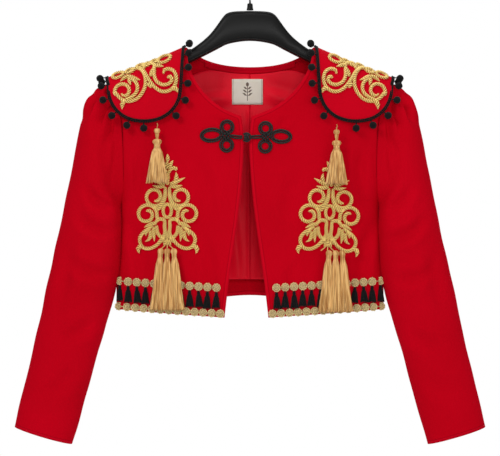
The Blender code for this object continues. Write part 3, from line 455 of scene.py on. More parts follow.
# %% How the body hangs
SIDE_GAP_HEIGHTS = (-0.615, -0.551, -0.519, -0.487, -0.455, -0.423, -0.396, -0.370, -0.340)
SIDE_GAP_WIDTHS = (0.0, 0.0034, 0.0058, 0.0078, 0.0094, 0.0108, 0.0112, 0.0040, 0.0)
BODY_SHARE, SLEEVE_SHARE = 0.35, 0.80   # how much of that gap each of the two takes up
SIDE_OF_BODY = (0.150, 0.205)           # where the swelling starts and is full, from the middle
BACK_DEPTH = 1.6                        # the back's creases are this much deeper
BACK_STARTS = (0.004, 0.014)            # cloth further forward than this keeps its place
ARMHOLE_SINK = 0.0090                   # how far a front rounds back into the armhole
ARMHOLE_REACH = (0.1985, 0.2105)
ARMHOLE_TOP, ARMHOLE_END = (0.230, 0.265), (0.440, 0.490)


def side_fullness(points, share):
    """How far the cloth reaches over the gap between a sleeve and the body, by height."""
    return share * np.interp(points[:, 2], SIDE_GAP_HEIGHTS, SIDE_GAP_WIDTHS)


def body_fullness(points):
    """The body's side swells out a little under the arm."""
    swell = smooth_step(np.abs(points[:, 0]), *SIDE_OF_BODY)
    return np.sign(points[:, 0]) * side_fullness(points, BODY_SHARE) * swell


def armhole_sink(points, side):
    """A front rounds back where it runs into the armhole's seam."""
    armhole = smooth_step(points[:, 0] * side, *ARMHOLE_REACH)
    drop = -points[:, 2]
    armhole *= smooth_step(drop, *ARMHOLE_TOP) * (1 - smooth_step(drop, *ARMHOLE_END))
    return ARMHOLE_SINK * armhole


def back_fall(points):
    """How far the back, and what is sewn to it, moves by its creases and waves."""
    fall = -BACK_DEPTH * creases(points[:, 0], points[:, 2], BACK_CREASES, 1)
    fall *= smooth_step(points[:, 1], *BACK_STARTS)
    return fall + slight_waves(points, 21)


# %% Fronts and back
NECK_REACH = 0.101      # the neckline's half width
cloths = {}
for side_name, side in SIDES.items():
    panel = soft_panel(f"{side_name}_front", f"{side_name}_front_cloth", 3)
    points = points_of(panel)
    sunk = creases(points[:, 0], points[:, 2], FRONT_CREASES[side_name], side)
    points[:, 1] += sunk + armhole_sink(points, side) + slight_waves(points, 11 + side)
    points[:, 0] += body_fullness(points)
    set_points(panel, points)
    trimmed = rim_points(panel, lambda x, z: abs(x) < 0.044 or (abs(x) < NECK_REACH and z > -0.26))
    set_edge_distance(panel, trimmed)
    cloths[f"{side_name}_front"] = panel

panel = soft_panel("back", "back_cloth", 2)
points = points_of(panel)
points[:, 1] += back_fall(points)
points[:, 0] += body_fullness(points)
set_points(panel, points)
set_edge_distance(panel, rim_points(panel, lambda x, z: abs(x) < NECK_REACH and z > -0.17))
cloths["back"] = panel


# %% [markdown]
# ### Sleeves
# A sleeve is a tube cut wide at the top and eased into the armhole, so short gathers run
# out from under the epaulette. Lower down it only bends: a few long pulls at the elbow
# and at the underarm. The creases push in along the tube's own radius, which keeps the
# cloth's two faces together, and front and back have their own sets.

# %% Where the sleeves' creases are
# The line down the middle of a sleeve, from shoulder to cuff, and for each side and each
# face (-1 in front, 1 behind) its creases, with the same columns as on the body.
SLEEVE_LINE = ((0.2095, 0.000, -0.270), (0.2380, 0.006, -0.315), (0.2480, 0.010, -0.370),
               (0.2570, 0.013, -0.450), (0.2720, 0.014, -0.522), (0.2998, 0.015, -0.638),
               (0.3288, 0.016, -0.750))
SLEEVE_CREASES = {
    ("right", -1): (
        (0.232, -0.196, 0.256, -0.232, 0.0045, 0.0037),
        (0.224, -0.206, 0.243, -0.256, 0.0055, 0.0040),
        (0.216, -0.222, 0.228, -0.290, 0.0060, 0.0034),
        (0.246, -0.204, 0.268, -0.252, 0.0050, 0.0028),
        (0.209, -0.262, 0.215, -0.340, 0.0070, 0.0020),
        (0.222, -0.395, 0.262, -0.352, 0.0080, 0.0022),
        (0.220, -0.432, 0.276, -0.398, 0.0090, 0.0022),
        (0.226, -0.500, 0.288, -0.470, 0.0100, 0.0020),
        (0.244, -0.560, 0.300, -0.600, 0.0110, 0.0018),
        (0.288, -0.430, 0.310, -0.560, 0.0120, 0.0016),
        (0.275, -0.640, 0.330, -0.690, 0.0120, 0.0014),
    ),
    ("left", -1): (
        (0.230, -0.198, 0.252, -0.236, 0.0050, 0.0034),
        (0.223, -0.208, 0.240, -0.262, 0.0050, 0.0043),
        (0.216, -0.226, 0.226, -0.296, 0.0060, 0.0031),
        (0.244, -0.205, 0.264, -0.258, 0.0055, 0.0031),
        (0.210, -0.270, 0.214, -0.345, 0.0070, 0.0018),
        (0.220, -0.400, 0.258, -0.350, 0.0085, 0.0020),
        (0.222, -0.445, 0.280, -0.404, 0.0090, 0.0024),
        (0.230, -0.505, 0.292, -0.486, 0.0100, 0.0018),
        (0.250, -0.585, 0.306, -0.612, 0.0110, 0.0018),
        (0.290, -0.440, 0.314, -0.572, 0.0120, 0.0016),
        (0.270, -0.655, 0.330, -0.680, 0.0130, 0.0013),
    ),
    ("right", 1): (
        (0.228, -0.200, 0.252, -0.246, 0.0060, 0.0031),
        (0.217, -0.222, 0.234, -0.300, 0.0070, 0.0034),
        (0.221, -0.410, 0.270, -0.360, 0.0090, 0.0024),
        (0.222, -0.455, 0.284, -0.424, 0.0100, 0.0024),
        (0.236, -0.530, 0.300, -0.520, 0.0110, 0.0020),
        (0.270, -0.620, 0.326, -0.656, 0.0120, 0.0015),
    ),
    ("left", 1): (
        (0.230, -0.202, 0.256, -0.250, 0.0060, 0.0031),
        (0.218, -0.230, 0.232, -0.308, 0.0075, 0.0034),
        (0.220, -0.405, 0.266, -0.352, 0.0090, 0.0022),
        (0.224, -0.470, 0.288, -0.430, 0.0100, 0.0026),
        (0.240, -0.545, 0.304, -0.524, 0.0110, 0.0018),
        (0.264, -0.630, 0.324, -0.660, 0.0120, 0.0015),
    ),
}


# %% Crease the sleeves
SLEEVE_MIDDLE = 0.012       # how far behind the origin the sleeves' middle lies
SEAM_CALM = (0.2125, 0.222)     # no creases at the armhole's seam, all of them beyond it
INNER_WIDTH = 0.025         # the inner side of a sleeve, from its middle line


def away_from_line(points, line):
    """For each point, the unit direction away from the nearest point of a bent line."""
    best = np.full(len(points), 9.0)
    away = np.zeros((len(points), 3))
    for start, end in zip(line[:-1], line[1:]):
        start, end = np.array(start), np.array(end)
        span = end - start
        share = np.clip((points - start) @ span / (span @ span), 0.0, 1.0)
        gap = points - (start + share[:, None] * span)
        far = np.linalg.norm(gap, axis=1)
        closer = far < best
        best[closer] = far[closer]
        away[closer] = gap[closer]
    return away / np.maximum(best, 1e-6)[:, None]


for side_name, side in SIDES.items():
    panel = soft_panel(f"{side_name}_sleeve", f"{side_name}_sleeve_cloth", 3)
    points = points_of(panel)
    line = [(x * side, y, z) for x, y, z in SLEEVE_LINE]
    away = away_from_line(points, line)
    middle = points[:, 1] - SLEEVE_MIDDLE
    sunk = np.zeros(len(points))
    for face in (-1, 1):
        facing = smooth_step(middle * face, -SLEEVE_MIDDLE, SLEEVE_MIDDLE)
        table = SLEEVE_CREASES[side_name, face]
        sunk += facing * creases(points[:, 0], points[:, 2], table, side)
    sunk += slight_waves(points, 31 + side)
    calm = smooth_step(np.abs(points[:, 0]), *SEAM_CALM)
    points -= away * (sunk * calm)[:, None]
    heights, reaches = [z for _, _, z in line[::-1]], [x * side for x, _, _ in line[::-1]]
    inside = np.interp(points[:, 2], heights, reaches) - points[:, 0] * side
    inner = smooth_step(inside, 0.0, INNER_WIDTH)
    points[:, 0] -= side * side_fullness(points, SLEEVE_SHARE) * inner
    set_points(panel, points)
    set_edge_distance(panel, rim_points(panel, lambda x, z: z < -0.70))
    cloths[f"{side_name}_sleeve"] = panel


# %% [markdown]
# ### Epaulettes, lining and facings
# The epaulettes are stiff saddles of the same cloth, so they get no folds, only their
# fine surface. The satin lining hangs loose inside the back in soft upright folds. The
# facings are the strips of red cloth that finish the back's neck and hem from inside.
#
# A finer copy of each epaulette, its outline, is kept for a while: the braid will follow
# its edge. It is made now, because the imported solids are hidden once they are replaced.

# %% Epaulettes
outlines = {}
for side_name in SIDES:
    node_name = f"{side_name}_epaulette"
    outlines[side_name] = soft_panel(node_name, f"{side_name}_outline", 3)
    cloths[node_name] = soft_panel(node_name, f"{node_name}_cloth", 2)


# %% Lining and facings
# Each fold's distance from the centre back and its depth; all are as wide as each other.
FOLD_WIDTH = 0.0062
FOLD_STRENGTH = 0.7
LINING_MIDDLE = -0.0016
SEAM_WIDTH, SEAM_DEPTH = 0.0028, 0.0035
LABEL_REACH = 0.034     # behind the label the lining lies flat
LINING_FOLDS = ((0.012, 0.0034), (0.031, 0.0022), (0.047, 0.0040), (0.068, 0.0026), (0.086, 0.0036),
                (0.109, 0.0022), (0.127, 0.0030))


def lining_depth(x, z):
    """Upright folds that grow from the neck down, and the seam at the centre back."""
    reach = np.abs(x - LINING_MIDDLE)
    grow = 0.20 + 0.80 * smooth_step(-z, 0.20, 0.36)
    off_label = smooth_step(-z, 0.222, 0.232) + smooth_step(z, -0.176, -0.168)
    total = SEAM_DEPTH * np.exp(-((reach / SEAM_WIDTH) ** 2)) * off_label
    for place, depth in LINING_FOLDS:
        drift = place + 0.004 * np.sin(z * 31 + place * 90) + 0.012 * (z + 0.35) * np.sign(x)
        total += FOLD_STRENGTH * depth * grow * np.exp(-(((reach - drift) / FOLD_WIDTH) ** 2))
    return np.where(reach < LABEL_REACH, total * np.clip(off_label, 0, 1), total)


for side_name in SIDES:
    panel = soft_panel(f"{side_name}_lining", f"{side_name}_lining_satin", 3)
    points = points_of(panel)
    points[:, 1] += back_fall(points) - lining_depth(points[:, 0], points[:, 2])
    set_points(panel, points)
    cloths[f"{side_name}_lining"] = panel

for node_name in ("back_neck_facing", "back_hem_facing"):
    panel = soft_panel(node_name, f"{node_name}_cloth", 2)
    points = points_of(panel)
    points[:, 1] += back_fall(points)
    set_points(panel, points)
    hem = node_name == "back_hem_facing"
    set_edge_distance(panel, rim_points(panel, lambda x, z: z < -0.51 if hem else z > -0.17))
    cloths[node_name] = panel


# %% Hand the cloth over
SHEETS = {
    # piece: flat width, flat length, flat area, how it is held, what it lies on
    "right_front": (0.24, 0.43, 0.078, "hung", ["hanger_body"]),
    "left_front": (0.24, 0.43, 0.078, "hung", ["hanger_body"]),
    "back": (0.47, 0.43, 0.170, "hung", ["hanger_body"]),
    "right_sleeve": (0.30, 0.60, 0.131, "hung", ["hanger_body"]),
    "left_sleeve": (0.30, 0.60, 0.131, "hung", ["hanger_body"]),
    "right_epaulette": (0.13, 0.25, 0.027, "laid", ["right_front_cloth"]),
    "left_epaulette": (0.13, 0.25, 0.027, "laid", ["left_front_cloth"]),
    "right_lining": (0.19, 0.35, 0.050, "hung", ["back_cloth"]),
    "left_lining": (0.19, 0.35, 0.050, "hung", ["back_cloth"]),
    "back_neck_facing": (0.15, 0.0115, 0.0016, "laid", ["back_cloth"]),
    "back_hem_facing": (0.36, 0.028, 0.0096, "laid", ["back_cloth"]),
}
for node_name, panel in cloths.items():
    satin = "lining" in node_name
    hand_over(panel, SATIN if satin else RED_CLOTH, "satin_lining" if satin else "red_cloth", node_name)
    width, length, area, held, lies_on = SHEETS[node_name]
    skin = sum(face.area for face in panel.data.polygons)
    print(f"{node_name}: one layer of cloth measures {skin / 2:.4f} square metres")


# %% [markdown]
# ## Gold rope embroidery
# The scrolls are a hard cord of gold thread, sewn down along a drawn line. In Blender a
# curve with a three-lobed profile does the same: each point is tilted a little more than
# the one before, which twists the three strands round each other. The lines are drawn
# flat, in millimetres round a middle, and then dropped onto the finished cloth by casting
# rays at it, so the cord follows every fold.

# %% Gold and black finishes
def gold_rope():
    """Twisted cord: painted shade between the strands, a painted highlight on their crowns, fine thread
    lines.
    """
    gold = Finish("gold_rope", Sheen_Weight=0.2, Sheen_Roughness=0.4, Specular_IOR_Level=0.6)
    crown = gold.attribute("crown")
    cloud = gold.noise(60.0, 3.0)
    thread = gold.noise(2400.0, 1.0)
    # painted shade and painted highlight: dark gold between the strands, pale gold on their crowns
    ground = gold.mix(gold.between(crown, 0.12, 0.74), paint(136, 74, 16), paint(255, 222, 128))
    ground = gold.mix(cloud * 0.10, ground, paint(242, 192, 104))
    rough = 0.42 - crown * 0.14
    metal = 0.06 + crown * 0.08
    height = crown * 0.6 + thread * 0.4
    return gold.feed(Base_Color=ground, Roughness=rough, Metallic=metal, height=height, depth=0.0004)


def gold_thread():
    """Loose silk thread of the tassels: long streaks down the skirt, the light ones partly painted
    highlights, and painted shade where the crown is low.
    """
    gold = Finish("gold_thread", Sheen_Weight=0.25, Sheen_Roughness=0.35, Specular_IOR_Level=0.5)
    streak = gold.noise(420.0, 2.0, (1.0, 1.0, 0.06))
    crown = gold.attribute("crown")
    # the lighter streaks are partly the threads' own tone, partly painted highlight
    ground = gold.mix(gold.between(streak, 0.35, 0.65), paint(184, 126, 56), paint(246, 200, 126))
    # painted shade: inner threads, the core and the ribs' grooves, where the crown is low, are painted darker
    ground = gold.mix((1 - crown) * 0.6, ground, paint(150, 98, 38))
    rough = 0.42 + streak * 0.2
    return gold.feed(Base_Color=ground, Roughness=rough, height=streak, depth=0.0003)


def pale_gimp():
    """The hem's cord: paler than the rope, and dull, with painted shade between its strands."""
    gimp = Finish("pale_gold_gimp", Sheen_Weight=0.2, Sheen_Roughness=0.4, Specular_IOR_Level=0.5)
    crown = gimp.attribute("crown")
    cloud = gimp.noise(120.0, 2.0)
    # painted shade: dark gold between the strands and on the disc behind the coil
    ground = gimp.mix(gimp.between(crown, 0.25, 0.85), paint(124, 70, 18), paint(255, 234, 166))
    ground = gimp.mix(cloud * 0.15, ground, paint(240, 208, 142))
    rough = 0.55 - crown * 0.12
    height = crown + cloud * 0.3
    return gimp.feed(Base_Color=ground, Roughness=rough, height=height, depth=0.0003)


def black_yarn():
    """Clipped wool: almost black, with no shine."""
    yarn = Finish("black_yarn", Sheen_Weight=0.05, Sheen_Roughness=0.5, Specular_IOR_Level=0.2)
    wool = yarn.noise(1100.0, 3.0)
    cloud = yarn.noise(160.0, 2.0)
    ground = yarn.mix(cloud, paint(3, 3, 4), paint(16, 16, 17))
    rough = 0.82 + wool * 0.15
    return yarn.feed(Base_Color=ground, Roughness=rough, height=wool, depth=0.0007)


GOLD_ROPE = gold_rope()
GOLD_THREAD = gold_thread()
PALE_GIMP = pale_gimp()
BLACK_YARN = black_yarn()


# %% [markdown]
# A line is a list of points. `through` draws a smooth one through a few of them, and
# `scroll` winds one in to its end, as the embroiderer's template does.

# %% Draw lines
def through(points, count=40):
    """A smooth line through a few points, evenly stepped."""
    rows = np.array([points[0], *points, points[-1]], float)
    line = []
    for i in range(1, len(rows) - 2):
        a, b, c, d = rows[i - 1 : i + 3]
        for t in np.linspace(0, 1, 14, endpoint=False):
            bend = (2 * a - 5 * b + 4 * c - d) * t**2
            turn = (3 * b - a - 3 * c + d) * t**3
            line.append(0.5 * (2 * b + (c - a) * t + bend + turn))
    line.append(rows[-2])
    return even(np.array(line), count)


def even(line, count):
    """The same line with its points evenly spaced."""
    steps = np.linalg.norm(np.diff(line, axis=0), axis=1)
    along = np.concatenate([[0], np.cumsum(steps)])
    places = np.linspace(0, along[-1], count)
    return np.column_stack([np.interp(places, along, line[:, k]) for k in range(line.shape[1])])


def scroll(centre, radii, start, sweep, ease=0.6):
    """A spiral from the outer to the inner radius; angles in degrees, sweep signed."""
    share = np.linspace(0, 1, 60)
    angle = np.radians(start + sweep * share)
    radius = radii[1] + (radii[0] - radii[1]) * (1 - share) ** ease
    return np.column_stack([centre[0] + radius * np.cos(angle), centre[1] + radius * np.sin(angle)])


def oval(centre, half_x, half_z, turn=0.0):
    """A closed oval, turned by degrees; its first point is not repeated."""
    angle = np.linspace(0, 2 * math.pi, 49)[:-1]
    x, z = half_x * np.cos(angle), half_z * np.sin(angle)
    c, s = math.cos(math.radians(turn)), math.sin(math.radians(turn))
    return np.column_stack([centre[0] + x * c - z * s, centre[1] + x * s + z * c])


# %% [markdown]
# `Cloth` is a surface to lay things on. It finds the point under (x, z) seen from the
# front or the back, and `laid` turns a flat line into one that lies on it, lifted by half
# the cord's thickness.

# %% Lay lines on cloth
class Cloth:
    """Pieces of cloth that a line can be dropped onto, from the front or from behind."""

    def __init__(self, pieces, face=-1):
        corners, faces = [], []
        for piece in pieces:
            start = len(corners)
            corners.extend(vertex.co.copy() for vertex in piece.data.vertices)
            faces.extend(tuple(start + i for i in face.vertices) for face in piece.data.polygons)
        self.tree = BVHTree.FromPolygons(corners, faces)
        self.face = face

    def point(self, x, z):
        """The point of the cloth at (x, z) and which way it faces, or None."""
        start = Vector((x, 0.4 * self.face, z))
        place, facing, _, _ = self.tree.ray_cast(start, Vector((0, -self.face, 0)))
        return (place, facing) if place else None


def laid(cloth, line, lift, cyclic=False, step=0.0010):
    """A flat line (x, z) in metres, dropped onto cloth; points off the cloth are left out."""
    count = max(8, int(length_of(line) / step))
    line = even(np.vstack([line, line[:1]]) if cyclic else line, count)
    places, facings = [], []
    for x, z in line:
        found = cloth.point(x, z)
        if found:
            places.append(found[0])
            facings.append(found[1])
    if len(places) < 4:
        return None
    facings = np.array(facings)
    eased(facings, 3)
    places = np.array(places) + unit(facings) * lift
    eased(places[:, 1], 2)
    return even(places, max(6, int(length_of(places) / step)))


# %% [markdown]
# `rope` makes many cords at once from 3-D lines. Its profile has as many lobes as the
# cord has strands. After the curve has become a mesh, `crown` keeps how far each point
# stands out, so that the finish can paint shade between the strands.

# %% The section of a cord
def lobed_profile(lobes, depth, corners):
    """A closed ring one metre in radius with soft lobes, the section of a cord."""
    ring = bpy.data.curves.new("profile", "CURVE")
    ring.dimensions = "2D"
    spline = ring.splines.new("POLY")
    spline.points.add(corners - 1)
    spline.use_cyclic_u = True
    for i, point in enumerate(spline.points):
        turn = 2 * math.pi * i / corners
        radius = 1.0 - depth * (1 - abs(math.cos(lobes * turn / 2)))
        point.co = (radius * math.cos(turn), radius * math.sin(turn), 0, 1)
    profile = bpy.data.objects.new("profile", ring)
    bpy.context.scene.collection.objects.link(profile)
    return profile


# %% Twist a rope
def rope(name, lines, lobes=3, depth=0.46, corners=12, pitch=0.0115, shades=None):
    """Twisted cords along 3-D lines, each (points, radius or radii, cyclic). Shades, if
    given, are the crowns of whole cords, and set how much painted shade each cord gets."""
    profile = lobed_profile(lobes, depth, corners)
    curve = bpy.data.curves.new(name, "CURVE")
    curve.dimensions = "3D"
    curve.bevel_mode = "OBJECT"
    curve.bevel_object = profile
    curve.use_fill_caps = True
    curve.twist_mode = "MINIMUM"
    centres, reach, owner = [], [], []
    for number, (points, radius, cyclic) in enumerate(lines):
        points = np.asarray(points, float)
        if cyclic:
            points = points[:-1]
        radii = np.broadcast_to(radius, len(points))
        spline = curve.splines.new("POLY")
        spline.points.add(len(points) - 1)
        spline.use_cyclic_u = cyclic
        step = np.linalg.norm(np.diff(points, axis=0), axis=1).mean()
        twist = 2 * math.pi * step / pitch if pitch else 0.0
        if cyclic and pitch:
            part = 2 * math.pi / lobes
            twist = round(twist * len(points) / part) * part / len(points)
        for i, point in enumerate(spline.points):
            point.co = (*points[i], 1)
            point.radius = radii[i]
            point.tilt = twist * i
        centres.extend(points)
        reach.extend(radii)
        owner.extend([number] * len(points))
    piece = bpy.data.objects.new(name, curve)
    bpy.context.scene.collection.objects.link(piece)
    pick(piece)
    bpy.ops.object.convert(target="MESH")
    piece = bpy.context.active_object
    bpy.ops.object.mode_set(mode="EDIT")
    bpy.ops.mesh.select_all(action="SELECT")
    bpy.ops.mesh.remove_doubles(threshold=0.000005)
    bpy.ops.mesh.normals_make_consistent(inside=False)
    bpy.ops.object.mode_set(mode="OBJECT")
    bpy.ops.object.shade_smooth_by_angle(angle=math.radians(75))
    bpy.data.objects.remove(profile)
    tree = KDTree(len(centres))
    for i, centre in enumerate(centres):
        tree.insert(centre, i)
    tree.balance()
    # crown: 1 on a strand's top, 0 at the bottom of a groove; the finishes paint shade where it is low
    crown = []
    for point in points_of(piece):
        _, i, gap = tree.find(point)
        bare = (gap / reach[i] - (1 - depth)) / depth
        crown.append(shades[owner[i]] if shades else min(max(bare, 0.0), 1.0))
    set_value(piece, "crown", crown)
    return piece


# %% Thick and thin
FINE_CORD = {"lobes": 2, "depth": 0.3, "corners": 8, "pitch": 0.003}


def tapered(count, radius):
    """Radii that swell from a thinner start and narrow again at the end."""
    start, end, share = 0.70, 0.55, 0.06
    along = np.linspace(0, 1, count)
    grow = start + (1 - start) * smooth_step(along, 0, share)
    shrink = end + (1 - end) * (1 - smooth_step(along, 1 - share, 1))
    return radius * np.minimum(grow, shrink)


def plump(count, radius):
    """Radii of a leaf or a bulb: thick in the middle and pointed at the end."""
    along = np.linspace(0, 1, count)
    return radius * np.clip(np.sin(math.pi * (0.12 + 0.84 * along) ** 0.8), 0.16, 1)


# %% [markdown]
# ### The appliqués on the fronts
# Each is a mirror figure on an upright axis. From the top it has a bud, a pair of leaves,
# two small scrolls, an oval, two more scrolls, a stem, and two large scrolls that open
# downwards and end in tails. Only its right half is drawn; the left half is its mirror.

# %% Appliqué figure
HALF_FIGURE = (
    # kind, line (mm, from the axis and the figure's middle)
    ("cord", np.vstack([through([(3.2, 44), (3.8, 32), (8, 20)], 12),
                        scroll((20.3, 28.8), (15.0, 6.2), -128, 400, 0.7)])),
    ("cord", through([(2.6, 34), (5.5, 22), (10, 14.5), (15, 9), (22, 11)])),
    ("cord", np.vstack([through([(15.2, -9), (16, -4)], 6),
                        scroll((32.6, 1.0), (16.5, 4.2), 196, -470, 0.6)])),
    ("cord", through([(3.6, -9), (8.5, -6.6), (14, -7.2), (19, -12)])),
    ("cord", through([(3.4, -8), (4.2, -18), (3.6, -29), (8, -37), (16, -47), (26, -52.5), (36.5, -52),
                      (42.5, -45), (43.4, -36), (38.5, -28.5), (31, -23), (23, -17.5)], 90)),
    ("cord", through([(17, -17), (15.4, -28), (9.5, -35.5), (3, -38)])),
    ("leaf", through([(27, -25), (26.4, -32), (29, -38.5), (34.5, -42)])),
    ("leaf", through([(17, -13.5), (26, -14.5), (36.8, -20)])),
    ("leaf", through([(21, -19), (21.6, -30), (20.6, -42)])),
    ("leaf", through([(29, -21), (33, -27), (33.5, -33)])),
    ("leaf", through([(4, 49), (14, 52), (28, 58.5)])),
    ("leaf", through([(4, 46), (13, 44.5), (23.5, 46.5)])),
    ("leaf", through([(12, 53), (14.5, 60), (13.6, 67)])),
    ("cord", through([(1.5, 56), (0.8, 64), (4.5, 71), (10.5, 74), (15.5, 71)])),
    ("leaf", through([(3, 74), (5.5, 80), (9, 86)])),
    ("leaf", through([(3, -34), (6.5, -38), (9, -44)])),
    ("leaf", through([(1.5, -40), (4, -45), (6, -48)])),
    ("tail", through([(41, -48.5), (46, -52.5), (46, -58), (44.6, -61)])),
    ("thread", through([(1.0, -45), (5.5, -50), (10.4, -54.5)])),
)
MIDDLE_FIGURE = (
    ("leaf", through([(0, 72), (-0.6, 80), (0, 88)])),
    ("leaf", through([(0, 84), (0.5, 90), (0, 96)])),
    ("leaf", through([(0, 47), (0, 56), (0, 64)])),
    ("leaf", through([(0, -26), (0, -33), (0, -40)])),
    ("leaf", through([(0, -38), (0, -44), (0, -49)])),
    ("thread", through([(0, -46), (0, -50), (0, -54.5)])),
)
OVAL_IN_THE_MIDDLE = oval((0, 6.5), 6.6, 10.4)


# %% Sew a figure down
CORD_RADIUS = 3.1       # millimetres, as are the next ones
THREAD_RADIUS = 0.9
LIFT = 0.62             # how high a cord's middle lies over the cloth, in cord radii
SWELL = {"leaf": 1.15, "tail": 1.35}    # the thickest part of each, in cord radii
OVAL_SHARE = 0.9        # ovals are of a slightly thinner cord


def figure_lines(cloth, figure, place, closed):
    """The figure's lines dropped onto cloth as (points, radii, cyclic)."""
    made = []
    for kind, line in figure:
        spot = laid(cloth, place(line), CORD_RADIUS * LIFT * MM)
        if spot is None:
            continue
        if kind == "cord":
            radii = tapered(len(spot), CORD_RADIUS * MM)
        elif kind == "thread":
            radii = THREAD_RADIUS * MM
        else:
            radii = plump(len(spot), CORD_RADIUS * SWELL[kind] * MM)
        made.append((spot, radii, False))
    for line in closed:
        spot = laid(cloth, place(line), CORD_RADIUS * LIFT * MM, cyclic=True)
        if spot is not None:
            made.append((spot, CORD_RADIUS * OVAL_SHARE * MM, True))
    return made


FRONT_CLOTH = Cloth([cloths["right_front"], cloths["left_front"]])
APPLIQUE_PLACES = {
    # axis, height of the figure's middle, lean
    "right": (-0.1300, -0.3994, 0.000),
    "left": (0.1250, -0.4020, -0.060),
}
MIRRORED = tuple((kind, line * np.array([-1.0, 1.0])) for kind, line in HALF_FIGURE)
for side_name, (axis, height, lean) in APPLIQUE_PLACES.items():
    def place(line, axis=axis, height=height, lean=lean):
        x, z = line[:, 0] * MM, line[:, 1] * MM
        return np.column_stack([axis + x - lean * z, height + z + lean * x])

    figure = HALF_FIGURE + MIRRORED + MIDDLE_FIGURE
    lines = figure_lines(FRONT_CLOTH, figure, place, [OVAL_IN_THE_MIDDLE])
    piece = rope(f"{side_name}_front_scrollwork", lines)
    hand_over(piece, GOLD_ROPE, "gold_rope", f"{side_name}_front_applique")


# %% [markdown]
# ### The epaulettes' scrollwork
# On each epaulette an outer and a neck-side scroll meet in a V, with loops and small
# ovals along the ridge of the shoulder. The same figure lies on the lobe behind.

# %% Epaulette figure
EPAULETTE_FIGURE = (
    ("cord", np.vstack([through([(-31, 14), (-25, 21), (-15, 22), (-8, 15), (-4.5, 5), (-5, -7), (-10, -18),
                                 (-19, -27), (-32, -30.5), (-44, -26), (-52, -17)], 70),
                        scroll((-39.5, -15), (14.5, 4.5), 200, -330, 0.8)])),
    ("cord", through([(-28, 6), (-20, 0), (-17, -9), (-20, -18), (-29, -25), (-38, -28)])),
    ("cord", through([(-16, 24), (-7, 16.5), (1, 3.5), (10, -8), (21, -15), (33, -14), (41.5, -6.5),
                      (44.4, 4.5), (41.6, 15), (34, 20), (26, 18.5), (24, 12.5)], 70)),
    ("cord", through([(9.7, 22), (9.5, 10), (14, 0), (23, -4.6), (32, -3.4), (37.5, 2.5), (35, 8), (30, 6)])),
    ("cord", through([(-8, 21), (-5, 28), (2, 31), (9, 28), (9, 21.5), (5, 15.5), (4, 8.5)])),
    ("leaf", through([(-30, 10), (-22, 6), (-13, 3)])),
    ("leaf", through([(-30, 10), (-38, 7), (-45, 1)])),
    ("leaf", through([(-30, 8), (-30, 1), (-28, -5)])),
    ("leaf", through([(9, 27), (16, 26), (24, 24)])),
    ("tail", through([(-37, -29), (-41, -35), (-41.5, -43)])),
    ("tail", through([(38, -9.5), (44, -11.5), (46.5, -17)])),
    ("tail", through([(0, -2), (3, -6), (4.5, -10)])),
)
EPAULETTE_OVALS = (
    oval((25, 37), 10.5, 5.2, 24),
    oval((-49, 12.0), 9.5, 4.2, 20),
    oval((9, 33.0), 5.6, 2.4, 24),
    oval((-2, 29.0), 5.0, 2.0, 24),
    oval((-14, 26.0), 6.4, 2.6, 24),
    oval((-30, 18.5), 7.0, 2.8, 24),
)
EPAULETTE_MIDDLE = (-0.160, -0.190)


# %% Sew it on both lobes
for side_name, side in SIDES.items():
    def place(line, side=side):
        middle_x, middle_z = EPAULETTE_MIDDLE
        return np.column_stack([-side * (middle_x + line[:, 0] * MM), middle_z + line[:, 1] * MM])

    lines = []
    for face in (-1, 1):
        saddle = Cloth([cloths[f"{side_name}_epaulette"]], face)
        lines += figure_lines(saddle, EPAULETTE_FIGURE, place, EPAULETTE_OVALS)
    piece = rope(f"{side_name}_epaulette_scrollwork", lines)
    hand_over(piece, GOLD_ROPE, "gold_rope", f"{side_name}_epaulette_embroidery")


# %% [markdown]
# ### Braid and pompoms round the epaulettes
# Two black cords lie side by side along the epaulette's edge, twisted against each other,
# so that they look braided. The pompoms are wool, cut short: a sphere of small triangles
# is pushed in and out at random, but from a fixed seed, so it is the same at each run.
# Each one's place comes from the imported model.

# %% Find an epaulette's edge
SADDLE_HALF = 0.052     # how far from the middle an epaulette's lobes hang upright


def summed_round(rows):
    """Twice each row and its two neighbours, round a closed loop."""
    return rows * 2 + np.roll(rows, 1, 0) + np.roll(rows, -1, 0)


def rim_loop(panel, middle):
    """The outer loop of a saddle's edge: points, directions off the edge and off the face."""
    mesh = bmesh.new()
    mesh.from_mesh(panel.data)
    mesh.normal_update()
    found = []
    for edge in mesh.edges:
        if is_cut(edge):
            centre = (edge.verts[0].co + edge.verts[1].co) / 2
            outwards = Vector((0.0, centre.y, SADDLE_HALF - abs(centre.y))).normalized()
            facings = [face.normal for face in edge.link_faces]
            rim, face = sorted(facings, key=lambda facing: facing.dot(outwards))
            if (rim + face).dot(outwards) > 0:
                found.append((*centre, *rim, *face))
    mesh.free()
    found = np.array(found)
    unrolled = found[:, 1] - (found[:, 2] + 0.14) * np.tanh(found[:, 1] / 0.01)
    found = found[np.argsort(np.arctan2(unrolled, found[:, 0] - middle.x))]
    points, off_edge, off_face = found[:, :3], found[:, 3:6], found[:, 6:]
    for _ in range(8):
        points = summed_round(points) / 4
        off_edge = unit(summed_round(off_edge))
        off_face = unit(summed_round(off_face))
    return points, off_edge, off_face


